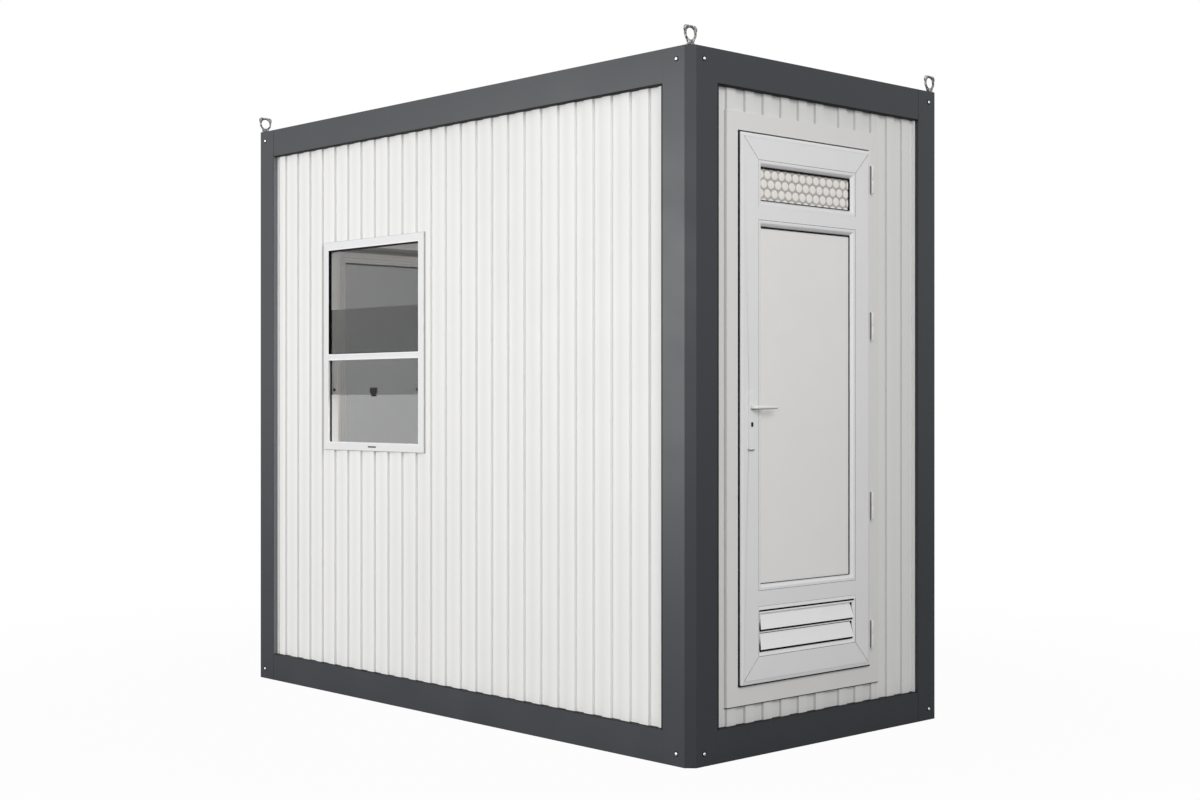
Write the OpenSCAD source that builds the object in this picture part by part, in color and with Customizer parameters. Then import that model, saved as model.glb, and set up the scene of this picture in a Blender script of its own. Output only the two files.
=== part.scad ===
// Security guard booth: a small flat-roofed cabin of ribbed wall panels in a steel corner frame.
// It has a serving window with a sliding pane, a second window in the end wall, a framed door
// that opens outwards and a lifting eye on each corner post.
// The serving window faces -Y and the door faces +X. The origin is the middle of the base.

/* [Cabin] */
// Length over the corner posts
cabin_l = 2875; // [2300:5:4000]
// Width over the corner posts
cabin_w = 1490; // [1300:5:1800]
// Height of the steel frame
cabin_h = 2600; // [2200:5:3000]

/* [Steel frame] */
// Width of each face of a corner post
post_w = 142; // [125:1:180]
// Leg of the chamfer down a post's outer corner
post_chamfer = 30; // [10:1:45]
// Height of the rails round the roof
top_rail_h = 124; // [100:1:150]
// Height of the rails round the base
bottom_rail_h = 122; // [100:1:160]

/* [Wall panels] */
// Setback of the panel crests behind the frame's face
skin_inset = 21; // [16:0.5:30]
// Thickness of a panel over its crests
wall_t = 40; // [36:1:60]
// Distance from one rib to the next
rib_pitch = 101.2; // [70:0.1:140]
// Depth of the valleys between the ribs
rib_d = 8.5; // [4:0.5:14]
// Width of a rib's sloping side
rib_flank = 4; // [2:0.5:12]
// First rib edge of the front wall, from its door end
rib_start = 235; // [180:1:280]
// First rib edge of the door wall, from its front end
door_rib_start = 213; // [160:1:260]
// Ribs of the door wall before the joint of its two panels
joint_rib = 6; // [2:1:9]
// Extra valley at that joint
joint_w = 41; // [0:1:60]

/* [Floor and roof] */
// Top of the floor over the ground
floor_z = 142; // [130:1:180]
// Thickness of the floor board
floor_t = 42; // [20:1:60]
// Width of a floor joist
joist_w = 50; // [30:1:90]
// Spaces between the floor joists
joist_bays = 6; // [4:2:10]
// Thickness of the ceiling panel
ceiling_t = 36; // [20:1:56]
// Depth of the roof ribs below the frame's top
roof_sink = 10; // [4:1:30]
// Height of a roof rib
roof_rib_h = 30; // [15:1:40]
// Thickness of the roof panel under its ribs
roof_t = 40; // [20:1:50]
// Distance from one roof rib to the next
roof_pitch = 250; // [180:5:400]
// Width of a roof rib's top
roof_rib_w = 30; // [20:1:60]
// Width of a roof rib's sloping side
roof_rib_side = 15; // [8:1:30]

/* [Lifting eyes] */
// Distance of an eye from the two faces of its post
eye_inset = 28; // [24:1:50]
// Radius of the eye's hole
eye_hole_r = 19; // [12:0.5:20]
// Height of the hole over the post
eye_hole_z = 45; // [42:1:60]
// Thickness of the eye
eye_t = 15; // [10:1:25]
// Width of the metal round the hole
eye_rim = 9; // [7:0.5:14]
// Width of the eye over its shoulders
eye_w = 62; // [56:1:76]
// Radius of the shoulders
eye_corner_r = 20; // [12:0.5:24]
// Width of the neck on the post
eye_neck = 26; // [20:1:40]

/* [Windows] */
// Width of the serving window over its outer flange
front_window_w = 745; // [600:5:900]
// Distance of the serving window from the middle of the front wall
front_window_x = -522; // [-700:1:600]
// Width of the end window over its outer flange
left_window_w = 635; // [500:5:760]
// How far the end window's light reaches below the serving window's
left_window_drop = 60; // [0:5:200]
// Height of both windows over the outer flange
window_h = 940; // [800:5:960]
// Height of the wall over both windows
over_window = 438; // [380:1:500]
// Visible width of a window's outer members
window_member = 36; // [30:1:50]
// Overlap of the outer flange on the wall
window_lap = 12; // [8:1:18]
// Thickness of the outer flange
window_flange_t = 7.5; // [4:0.5:12]
// Visible width of the trim inside the room
window_trim = 52; // [45:1:80]
// Thickness of that trim
window_trim_t = 8; // [4:0.5:15]
// Underside of the middle rail over the window's underside
window_rail_z = 405; // [300:1:500]
// Height of the middle rail
window_rail_h = 27; // [20:1:40]
// Setback of the middle rail behind the flange's face
window_rail_step = 1; // [0.5:0.5:4]
// Thickness of a pane
pane_t = 4; // [3:0.5:6]
// Depth of the fixed pane behind the outer flange's face
pane_depth = 9; // [6:0.5:14]
// Space between the fixed and the sliding pane
pane_gap = 4; // [2:0.5:8]
// Space between the two sheets of the end window
sheet_gap = 12; // [6:1:16]
// Overlap of the sliding pane on the middle rail when shut
pane_lap = 17; // [8:1:25]
// Height by which the serving window's pane is pushed up
pane_lift = 212; // [0:1:360]
// Width of the sliding pane's latch
latch_w = 62; // [40:1:90]
// Height of the latch
latch_h = 26; // [18:1:40]
// Thickness of the latch and the knobs
latch_t = 13; // [8:0.5:18]
// Width of the tongue under the latch
tongue_w = 31; // [16:1:38]
// Height of the tongue
tongue_h = 13; // [6:1:20]
// Thickness of the tongue
tongue_t = 6.5; // [4:0.5:8]
// Radius of the knobs at the sliding pane's ends
knob_r = 7; // [5:0.5:9]
// Distance of a knob from the end of the pane
knob_inset = 28; // [12:1:60]
// Depth of the blind box over the end window
blind_box_d = 150; // [100:5:200]
// Height of the blind box
blind_box_h = 200; // [120:5:240]
// Space between the end window's trim and the blind box
blind_box_gap = 18; // [0:1:40]

/* [Door] */
// Width of the door leaf as a share of the wall between the posts
leaf_share = 0.6335; // [0.58:0.0005:0.72]
// Thickness of the door leaf
leaf_t = 60; // [48:1:62]
// Setback of the leaf's face behind the frame's face
leaf_inset = 2; // [0:0.5:4]
// Width of the bevel round the leaf's face
leaf_bevel_w = 14; // [6:1:24]
// Depth of that bevel
leaf_bevel_d = 3; // [1:0.5:4]
// Clear gap round the leaf
leaf_gap = 6; // [5.5:0.5:8]
// Width of the wall between the front post and the door frame
beside_door = 66; // [40:1:130]
// Height of the wall over the door frame
over_door = 86; // [60:1:140]
// Underside of the door frame over the ground
door_z = 192; // [185:1:196]
// Visible width of the door frame's sides
jamb_w = 58.5; // [50:0.5:64]
// Visible height of the door frame's head and sill
head_h = 69.5; // [60:0.5:72]
// Projection of the door frame's face over the panel crests
jamb_proud = 7.5; // [4:0.5:12]
// Overlap of the door stop behind the leaf
stop_lap = 14; // [10:1:25]
// Thickness of the door stop
stop_t = 17; // [12:1:24]
// Depth of the leaf's outer lip
lip_d = 26; // [15:1:30]
// Step behind the outer lip
lip_step = 5; // [3:0.5:8]
// Width of the leaf's stiles and top rail
stile_w = 95; // [80:1:115]
// Height of the leaf's bottom rail
leaf_bottom_rail = 98; // [80:1:130]
// Height of the louvre opening
louvre_h = 188; // [150:1:240]
// Height of the transom over the louvre
lower_transom = 58; // [50:1:80]
// Height of the transom under the glass
upper_transom = 50; // [50:1:80]
// Height of the glass opening
glass_h = 174; // [140:1:260]
// Width of the glazing beads
bead_w = 24; // [16:1:32]
// Depth of the outer beads
bead_d = 14; // [8:0.5:18]
// Flat edge of a bead
bead_land = 4; // [2:0.5:8]
// Step from the leaf's face to a bead
bead_step = 1; // [0.5:0.5:3]
// Thickness of the panel, the glass unit and the louvre's rim
infill_t = 24; // [18:1:26]
// Louvre blades
blade_count = 2; // [2:1:4]
// Thickness of a blade
blade_t = 4; // [3:0.5:6]
// Lean of a blade from its top to its lower edge
blade_lean = 18; // [10:1:20]
// Overlap of a blade on the one below
blade_lap = 8; // [4:1:14]
// Width and depth of the mitre lines
mitre_w = 1.2; // [0.8:0.1:2]

/* [Door furniture] */
// Radius of a hinge barrel
hinge_r = 7; // [5.5:0.5:8]
// Length of a hinge
hinge_l = 110; // [80:1:140]
// Gap between the two halves of a hinge
hinge_split = 1; // [0.5:0.5:3]
// Heights of the hinges as shares of the leaf's height
hinge_shares = [0.06, 0.31, 0.66, 0.945]; // [0.05:0.005:0.95]
// Gap between a hinge's moving flap and the door frame
flap_gap = 5; // [4:0.5:6]
// Radius of a hinge pin
hinge_pin_r = 4; // [2.5:0.5:4.5]
// Length of a hinge pin inside its barrel
hinge_pin_l = 40; // [20:1:44]
// Running gap at a hinge pin and at the lever's neck
running_gap = 0.3; // [0.2:0.05:0.4]
// Gap between a barrel and the edge of the leaf
barrel_gap = 2; // [1:0.5:3]
// Distance of the lever's axis from the leaf's edge
lever_backset = 50; // [42:1:60]
// Height of the lever's axis over the ground
lever_z = 1295; // [1100:1:1400]
// Length of the lever from its axis
lever_l = 130; // [100:1:150]
// Distance of the lever from the handle plate
lever_reach = 36; // [28:1:50]
// Thickness of the lever's bar
lever_t = 12; // [8:1:16]
// Radius of the lever's neck
lever_r = 9; // [7:0.5:11]
// Radius of the spindle through the leaf
spindle_r = 6; // [4:0.5:7]
// Width of a handle plate
plate_w = 34; // [28:1:44]
// Thickness of a handle plate
plate_t = 8; // [5:0.5:12]
// Corner radius of a handle plate
plate_corner_r = 8.5; // [4:0.5:12]
// Length of a handle plate over the lever's axis
plate_up = 56; // [30:1:80]
// Length of a handle plate under the lever's axis
plate_down = 158; // [120:1:190]
// Distance from the lever's axis down to the keyhole
key_drop = 63; // [50:1:90]
// Radius of the keyhole's round ends
key_r = 5.5; // [4:0.5:7]
// Height of the keyhole
key_h = 16.5; // [15:0.5:22]

/* [Hidden] */
$fn = 48;
// Distance under which two places along a wall count as one
eps = 0.02;
// Length by which a cut runs past what it cuts
over = 1;

steel_grey = [0.24, 0.25, 0.27];
panel_white = [0.90, 0.90, 0.89];
plastic_white = [0.93, 0.93, 0.94];
jamb_white = [0.84, 0.83, 0.82];
glass_grey = [0.62, 0.66, 0.68, 0.45];
zinc_grey = [0.62, 0.63, 0.64];
trim_black = [0.06, 0.06, 0.06];
floor_grey = [0.45, 0.43, 0.40];

frame_d = skin_inset + wall_t;
wall_bottom = bottom_rail_h;
wall_top = cabin_h - top_rail_h;
front_half = cabin_l / 2 - post_w;
end_half = cabin_w / 2 - post_w;
room_l = cabin_l - 2 * frame_d;
room_w = cabin_w - 2 * frame_d;

rib_half = rib_pitch / 4 - rib_flank / 2;
rib_count = ceil(cabin_l / rib_pitch);
front_ribs = rib_row(cabin_l / 2 - rib_start - rib_pitch / 4, -rib_count, rib_count);
centred_ribs = rib_row(0, -rib_count, rib_count);
door_first_rib = door_rib_start + rib_pitch / 4 - cabin_w / 2;
door_ribs = concat(
    rib_row(door_first_rib, -rib_count, joint_rib - 1),
    rib_row(door_first_rib + joint_w, joint_rib, rib_count)
);

window_face = skin_inset - window_flange_t;
window_z = wall_top - over_window - window_h;
window_light_h = window_h - 2 * window_member;
window_light_z = window_z + window_member;
left_light_z = window_light_z - left_window_drop;
window_light_top = window_light_z + window_light_h;
window_cut = window_member - window_lap;
front_cut_half = front_window_w / 2 - window_lap;
front_cut = [front_window_x - front_cut_half, front_window_x + front_cut_half];
rail_z = window_z + window_rail_z;
fixed_pane_y = window_face + pane_depth;
sliding_pane_y = fixed_pane_y + pane_t + pane_gap;
sliding_pane_h = rail_z - window_light_z + pane_lap;

jamb_face = skin_inset - jamb_proud;
leaf_w = leaf_share * 2 * end_half;
door_frame_w = leaf_w + 2 * (leaf_gap + jamb_w);
door_frame_h = wall_top - over_door - door_z;
door_x = beside_door + door_frame_w / 2 - end_half;
leaf_h = door_frame_h - 2 * (leaf_gap + head_h);
leaf_z = door_z + head_h + leaf_gap;
leaf_left = door_x - leaf_w / 2;
leaf_right = door_x + leaf_w / 2;
leaf_back = leaf_inset + leaf_t;
stop_y = leaf_back + leaf_gap;
jamb_back = stop_y + stop_t;
louvre_z = leaf_z + leaf_bottom_rail;
panel_z = louvre_z + louvre_h + lower_transom;
glass_z = leaf_z + leaf_h - stile_w - glass_h;
panel_top = glass_z - upper_transom;
opening_w = leaf_w - 2 * stile_w;
opening_x = leaf_left + stile_w;
leaf_openings = [[louvre_z, louvre_z + louvre_h], [panel_z, panel_top], [glass_z, glass_z + glass_h]];
inner_bead_d = leaf_t - bead_d - infill_t;
infill_y = leaf_inset + bead_d;

hinge_x = leaf_right + barrel_gap + hinge_r;
hinge_y = jamb_face - leaf_gap - hinge_r;
hinge_half = (hinge_l - hinge_split) / 2;
hinge_heights = [for (share = hinge_shares) leaf_z + leaf_h * share];
lever_x = leaf_left + lever_backset;

// Crest middles of a row of ribs
function rib_row(start, first, last) = [for (k = [first : last]) start + k * rib_pitch];

// Depth of the cladding below its crests at one place along a wall
function rib_depth(u, ribs) =
    rib_d * min([for (c = ribs) max(0, min(1, (abs(u - c) - rib_half) / rib_flank))]);

// Places where the cladding's outline turns, between two ends
function rib_turns(from, to, ribs) = [
    for (c = ribs, e = [-rib_half - rib_flank, -rib_half, rib_half, rib_half + rib_flank])
        if (c + e > from + eps && c + e < to - eps) c + e
];

// Outline of a slab seen along one of its edges, from an edge profile of [inset, depth] points
function edge_outline(low, high, profile) = concat(
    [for (p = profile) [low + p[0], p[1]]],
    [for (k = [len(profile) - 1 : -1 : 0]) [high - profile[k][0], profile[k][1]]]
);

// Places its children on one side of the cabin: x along the wall, y inwards from the frame's face
module on_side(side) {
    turn = side == "front" ? 0 : side == "door" ? 90 : side == "back" ? 180 : 270;
    half = side == "front" || side == "back" ? cabin_w / 2 : cabin_l / 2;
    rotate(turn) translate([0, -half, 0]) children();
}

// Places its children on one corner, with the cabin towards -x and -y
module on_corner(end_x, end_y) {
    mirror([end_x < 0 ? 1 : 0, 0, 0])
        mirror([0, end_y < 0 ? 1 : 0, 0])
            translate([cabin_l / 2, cabin_w / 2, 0]) children();
}

// Block between two corners
module block(low, high) {
    translate(low) cube(high - low);
}

// Upright slab between two [x, z] corners with one profile round all four edges, mitred at the corners
module profiled_slab(low, high, profile) {
    plan = edge_outline(low[0], high[0], profile);
    section = [for (p = edge_outline(low[1], high[1], profile)) [p[1], p[0]]];
    reach = over - min([for (p = profile) p[0]]);
    intersection() {
        translate([0, 0, low[1] - reach]) linear_extrude(high[1] - low[1] + 2 * reach) polygon(plan);
        translate([low[0] - reach, 0, 0]) rotate([90, 0, 90])
            linear_extrude(high[0] - low[0] + 2 * reach) polygon(section);
    }
}

// Round bar that starts at a point and runs inwards
module inward_bar(at, r, h) {
    translate(at) rotate([-90, 0, 0]) cylinder(r = r, h = h);
}

module post() {
    linear_extrude(cabin_h)
        polygon([
            [-post_chamfer, 0], [0, -post_chamfer], [0, -post_w], [-frame_d, -post_w],
            [-frame_d, -frame_d], [-post_w, -frame_d], [-post_w, 0]
        ]);
}

module bottom_rail(half) {
    block([-half, 0, 0], [half, frame_d, bottom_rail_h]);
}

module top_rail(half) {
    block([-half, 0, wall_top], [half, frame_d, cabin_h]);
}

// Lifting eye: a flat pear of steel with a round hole
module eye() {
    shoulder = eye_w / 2 - eye_corner_r;
    shoulder_z = eye_hole_z + eye_hole_r + eye_rim - eye_corner_r;
    translate([-eye_inset, -eye_inset, cabin_h]) rotate([90, 0, 90])
        difference() {
            linear_extrude(eye_t, center = true)
                hull() {
                    for (x = [-shoulder, shoulder])
                        translate([x, shoulder_z]) circle(r = eye_corner_r, $fn = 32);
                    translate([-eye_neck / 2, 0]) square([eye_neck, eye_rim]);
                }
            translate([0, eye_hole_z, 0]) cylinder(r = eye_hole_r, h = 2 * eye_t, center = true);
        }
}

// Ribbed wall panel between two places along a wall and two heights
module cladding(ribs, from, to, bottom, top) {
    places = concat([from], rib_turns(from, to, ribs), [to]);
    outer = [for (u = places) [u, skin_inset + rib_depth(u, ribs)]];
    translate([0, 0, bottom]) linear_extrude(top - bottom)
        polygon(concat(outer, [[to, frame_d], [from, frame_d]]));
}

// Block of a window's light, made larger all round by a margin
module window_block(x, w, bottom, margin, from, to) {
    half = w / 2 - window_member + margin;
    block([x - half, from, bottom - margin], [x + half, to, window_light_top + margin]);
}

// Window frame: outer flange, body through the wall and trim inside
module window_frame(x, w, bottom) {
    half = w / 2 - window_member;
    inner_face = frame_d + window_trim_t;
    difference() {
        profiled_slab([x - half, bottom], [x + half, window_light_top], [
            [-window_member, window_face], [-window_member, skin_inset],
            [-window_cut, skin_inset], [-window_cut, frame_d],
            [-window_trim, frame_d], [-window_trim, inner_face]
        ]);
        window_block(x, w, bottom, 0, window_face - over, inner_face + over);
    }
}

module window_rail(x, w) {
    half = w / 2 - window_member;
    block([x - half, window_face + window_rail_step, rail_z],
          [x + half, fixed_pane_y + pane_t + pane_gap / 2, rail_z + window_rail_h]);
}

// Sheet of glass across a window's light, at one depth and between two heights
module pane(x, w, depth, bottom, top) {
    half = w / 2 - window_member;
    block([x - half, depth, bottom], [x + half, depth + pane_t, top]);
}

// Block of one opening of the leaf between two depths, drawn in all round
module opening_block(span, in, from, to) {
    block([opening_x + in, leaf_inset + from, span[0] + in],
          [opening_x + opening_w - in, leaf_inset + to, span[1] - in]);
}

// Ring of glazing bead in one opening, thin at the face and full at the infill
module bead_ring(span, face, seat) {
    past = over * sign(seat - face);
    difference() {
        opening_block(span, 0, min(face, seat), max(face, seat));
        translate([0, leaf_inset, 0])
            profiled_slab([opening_x, span[0]], [opening_x + opening_w, span[1]], [
                [bead_land, face - past], [bead_land, face], [bead_w, seat], [bead_w, seat + past]
            ]);
    }
}

// Scribed line from a corner of the leaf's flat face to the corner of its nearest opening
module mitre_line(corner, target) {
    run = target - corner;
    translate([corner[0], leaf_inset, corner[1]])
        rotate([0, -atan2(run[1], run[0]), 0])
            block([mitre_w, -mitre_w, -mitre_w / 2], [norm(run) - mitre_w, mitre_w, mitre_w / 2]);
}

// Rounded plate on the leaf, standing out from one depth to another
module handle_plate(from, to) {
    r = plate_corner_r;
    bottom = lever_z - plate_down;
    top = lever_z + plate_up;
    block([lever_x - plate_w / 2 + r, from, bottom], [lever_x + plate_w / 2 - r, to, top]);
    block([lever_x - plate_w / 2, from, bottom + r], [lever_x + plate_w / 2, to, top - r]);
    for (x = [r - plate_w / 2, plate_w / 2 - r], z = [bottom + r, top - r])
        inward_bar([lever_x + x, from, z], r, to - from);
}

// Oval keyhole cut through a plate
module keyhole(from, to) {
    for (z = [key_r - key_h / 2, key_h / 2 - key_r])
        inward_bar([lever_x, from, lever_z - key_drop + z], key_r, to - from);
}

// Lever bar with round ends, parallel to the leaf
module lever_bar(from) {
    tip_x = lever_x + lever_l - lever_r;
    inward_bar([lever_x, from, lever_z], lever_r, lever_t);
    inward_bar([tip_x, from, lever_z], lever_r, lever_t);
    block([lever_x, from, lever_z - lever_r], [tip_x, from + lever_t, lever_z + lever_r]);
}

module front_left_post() { color(steel_grey) on_corner(-1, -1) post(); }
module front_right_post() { color(steel_grey) on_corner(1, -1) post(); }
module back_left_post() { color(steel_grey) on_corner(-1, 1) post(); }
module back_right_post() { color(steel_grey) on_corner(1, 1) post(); }

module front_bottom_rail() { color(steel_grey) on_side("front") bottom_rail(front_half); }
module back_bottom_rail() { color(steel_grey) on_side("back") bottom_rail(front_half); }
module left_bottom_rail() { color(steel_grey) on_side("left") bottom_rail(end_half); }
module door_bottom_rail() { color(steel_grey) on_side("door") bottom_rail(end_half); }

module front_top_rail() { color(steel_grey) on_side("front") top_rail(front_half); }
module back_top_rail() { color(steel_grey) on_side("back") top_rail(front_half); }
module left_top_rail() { color(steel_grey) on_side("left") top_rail(end_half); }
module door_top_rail() { color(steel_grey) on_side("door") top_rail(end_half); }

module front_left_eye() { color(zinc_grey) on_corner(-1, -1) eye(); }
module front_right_eye() { color(zinc_grey) on_corner(1, -1) eye(); }
module back_left_eye() { color(zinc_grey) on_corner(-1, 1) eye(); }
module back_right_eye() { color(zinc_grey) on_corner(1, 1) eye(); }

module front_wall_left() {
    color(panel_white) on_side("front")
        cladding(front_ribs, -front_half, front_cut[0], wall_bottom, wall_top);
}

module front_wall_right() {
    color(panel_white) on_side("front")
        cladding(front_ribs, front_cut[1], front_half, wall_bottom, wall_top);
}

module front_wall_over_window() {
    color(panel_white) on_side("front")
        cladding(front_ribs, front_cut[0], front_cut[1], window_z + window_h - window_lap, wall_top);
}

module front_wall_under_window() {
    color(panel_white) on_side("front")
        cladding(front_ribs, front_cut[0], front_cut[1], wall_bottom, window_z + window_lap);
}

module back_wall() {
    color(panel_white) on_side("back")
        cladding(centred_ribs, -front_half, front_half, wall_bottom, wall_top);
}

module left_wall() {
    color(panel_white) on_side("left")
        difference() {
            cladding(centred_ribs, -end_half, end_half, wall_bottom, wall_top);
            window_block(0, left_window_w, left_light_z, window_cut, 0, frame_d + over);
        }
}

module door_wall_front() {
    color(panel_white) on_side("door")
        cladding(door_ribs, -end_half, door_x - door_frame_w / 2, wall_bottom, wall_top);
}

module door_wall_back() {
    color(panel_white) on_side("door")
        cladding(door_ribs, door_x + door_frame_w / 2, end_half, wall_bottom, wall_top);
}

module door_wall_over_door() {
    color(panel_white) on_side("door")
        cladding(door_ribs, door_x - door_frame_w / 2, door_x + door_frame_w / 2,
                 door_z + door_frame_h, wall_top);
}

module door_wall_under_door() {
    color(panel_white) on_side("door")
        cladding(door_ribs, door_x - door_frame_w / 2, door_x + door_frame_w / 2, wall_bottom, door_z);
}

module floor_board() {
    color(floor_grey)
        block([-room_l / 2, -room_w / 2, floor_z - floor_t], [room_l / 2, room_w / 2, floor_z]);
}

module floor_joists() {
    step = (room_l - joist_w) / joist_bays;
    color(steel_grey)
        for (k = [-joist_bays / 2 : joist_bays / 2])
            block([k * step - joist_w / 2, -room_w / 2, 0],
                  [k * step + joist_w / 2, room_w / 2, floor_z - floor_t]);
}

module ceiling_panel() {
    color(panel_white)
        block([-room_l / 2, -room_w / 2, wall_top - ceiling_t], [room_l / 2, room_w / 2, wall_top]);
}

module roof_panel() {
    sheet = cabin_h - roof_sink - roof_rib_h;
    ribs = floor((room_l - 2 * roof_rib_w) / roof_pitch);
    foot = roof_rib_w / 2 + roof_rib_side;
    top_line = [
        for (k = [0 : ribs - 1], p = [[-foot, 0], [-roof_rib_w / 2, roof_rib_h],
                                      [roof_rib_w / 2, roof_rib_h], [foot, 0]])
            [(k - (ribs - 1) / 2) * roof_pitch + p[0], sheet + p[1]]
    ];
    color(panel_white) rotate([90, 0, 0]) linear_extrude(room_w, center = true)
        polygon(concat([[-room_l / 2, sheet - roof_t], [-room_l / 2, sheet]], top_line,
                       [[room_l / 2, sheet], [room_l / 2, sheet - roof_t]]));
}

module front_window_frame() {
    color(plastic_white) on_side("front") {
        window_frame(front_window_x, front_window_w, window_light_z);
        window_rail(front_window_x, front_window_w);
    }
}

module front_window_fixed_pane() {
    color(glass_grey) on_side("front")
        pane(front_window_x, front_window_w, fixed_pane_y, rail_z + window_rail_h, window_light_top);
}

module front_window_sliding_pane() {
    bottom = window_light_z + pane_lift;
    color(glass_grey) on_side("front")
        pane(front_window_x, front_window_w, sliding_pane_y, bottom, bottom + sliding_pane_h);
}

module front_window_catches() {
    back = sliding_pane_y + pane_t;
    edge = window_light_z + pane_lift;
    knob_x = front_window_w / 2 - window_member - knob_inset;
    color(trim_black) on_side("front") translate([front_window_x, back, edge]) {
        block([-latch_w / 2, 0, 0], [latch_w / 2, latch_t, latch_h]);
        block([-tongue_w / 2, 0, -tongue_h], [tongue_w / 2, tongue_t, 0]);
        for (x = [-knob_x, knob_x])
            inward_bar([x, 0, latch_h - knob_r], knob_r, latch_t);
    }
}

module left_window_frame() {
    color(plastic_white) on_side("left") window_frame(0, left_window_w, left_light_z);
}

module left_window_panes() {
    color(glass_grey) on_side("left")
        for (depth = [fixed_pane_y, fixed_pane_y + pane_t + sheet_gap])
            pane(0, left_window_w, depth, left_light_z, window_light_top);
}

module left_window_blind_box() {
    half = left_window_w / 2 - window_member + window_trim;
    z = window_light_top + window_trim + blind_box_gap;
    color(plastic_white) on_side("left")
        block([-half, frame_d, z], [half, frame_d + blind_box_d, z + blind_box_h]);
}

module door_frame() {
    pocket_x = leaf_left - leaf_gap;
    pocket_z = leaf_z - leaf_gap;
    color(jamb_white) on_side("door")
        difference() {
            block([door_x - door_frame_w / 2, jamb_face, door_z],
                  [door_x + door_frame_w / 2, jamb_back, door_z + door_frame_h]);
            block([pocket_x, jamb_face - over, pocket_z],
                  [leaf_right + leaf_gap, stop_y, leaf_z + leaf_h + leaf_gap]);
            block([leaf_left + stop_lap, jamb_face, leaf_z + stop_lap],
                  [leaf_right - stop_lap, jamb_back + over, leaf_z + leaf_h - stop_lap]);
        }
}

module door_hinge_pins() {
    color(plastic_white) on_side("door")
        for (z = hinge_heights) translate([hinge_x, hinge_y, z - hinge_l / 2]) {
            cylinder(r = hinge_r, h = hinge_half);
            cylinder(r = hinge_pin_r, h = hinge_half + hinge_pin_l);
            block([leaf_gap - barrel_gap - hinge_r, 0, 0], [hinge_r, jamb_face - hinge_y, hinge_half]);
        }
}

module door_leaf() {
    left = leaf_left + leaf_bevel_w;
    right = leaf_right - leaf_bevel_w;
    bottom = leaf_z + leaf_bevel_w;
    top = leaf_z + leaf_h - leaf_bevel_w;
    corners = [[left, bottom], [right, bottom], [left, top], [right, top]];
    targets = [[opening_x, louvre_z], [opening_x + opening_w, louvre_z],
               [opening_x, glass_z + glass_h], [opening_x + opening_w, glass_z + glass_h]];
    color(plastic_white) on_side("door")
        difference() {
            profiled_slab([leaf_left, leaf_z], [leaf_right, leaf_z + leaf_h], [
                [leaf_bevel_w, leaf_inset], [0, leaf_inset + leaf_bevel_d],
                [0, leaf_inset + lip_d], [lip_step, leaf_inset + lip_d], [lip_step, leaf_back]
            ]);
            for (span = leaf_openings) opening_block(span, 0, -over, leaf_t + over);
            for (k = [0 : 3]) mitre_line(corners[k], targets[k]);
            inward_bar([lever_x, leaf_inset - over, lever_z], spindle_r + running_gap, leaf_t + 2 * over);
        }
}

module door_beads() {
    color(plastic_white) on_side("door")
        for (span = leaf_openings) {
            bead_ring(span, bead_step, bead_d);
            bead_ring(span, leaf_t - bead_step, leaf_t - inner_bead_d);
        }
}

module door_glass() {
    color(glass_grey) on_side("door") opening_block(leaf_openings[2], 0, bead_d, bead_d + infill_t);
}

module door_panel() {
    color(plastic_white) on_side("door") opening_block(leaf_openings[1], 0, bead_d, bead_d + infill_t);
}

module door_louvre() {
    span = leaf_openings[0];
    pitch = (louvre_h - 2 * bead_w) / blade_count;
    front = bead_d - blade_t;
    back = blade_lean - front;
    color(plastic_white) on_side("door") {
        difference() {
            opening_block(span, 0, bead_d, bead_d + infill_t);
            opening_block(span, bead_w, 0, leaf_t);
        }
        for (k = [0 : blade_count - 1])
            translate([opening_x + bead_w, infill_y, span[0] + bead_w + k * pitch])
                rotate([90, 0, 90]) linear_extrude(opening_w - 2 * bead_w)
                    polygon([[-front, 0], [blade_t - front, 0], [back + blade_t, pitch + blade_lap],
                             [back, pitch + blade_lap]]);
    }
}

module door_hinge_barrels() {
    color(plastic_white) on_side("door")
        for (z = hinge_heights) translate([hinge_x, hinge_y, z + hinge_l / 2 - hinge_half])
            difference() {
                union() {
                    cylinder(r = hinge_r, h = hinge_half);
                    block([-barrel_gap - hinge_r, 0, 0], [0, jamb_face - flap_gap - hinge_y, hinge_half]);
                }
                translate([0, 0, -over]) cylinder(r = hinge_pin_r + running_gap, h = hinge_pin_l + over);
            }
}

module door_handle_plates() {
    color(plastic_white) on_side("door")
        for (from = [leaf_inset - plate_t, leaf_back])
            difference() {
                handle_plate(from, from + plate_t);
                inward_bar([lever_x, from - over, lever_z], lever_r + running_gap, plate_t + 2 * over);
                keyhole(from - over, from + plate_t + over);
            }
}

module door_lever() {
    outer = leaf_inset - plate_t - lever_reach - lever_t;
    inner = leaf_back + plate_t + lever_reach;
    color(plastic_white) on_side("door") {
        inward_bar([lever_x, outer, lever_z], spindle_r, inner + lever_t - outer);
        inward_bar([lever_x, outer, lever_z], lever_r, leaf_inset - running_gap - outer);
        inward_bar([lever_x, leaf_back + running_gap, lever_z], lever_r, inner - leaf_back);
        lever_bar(outer);
        lever_bar(inner);
    }
}

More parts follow.
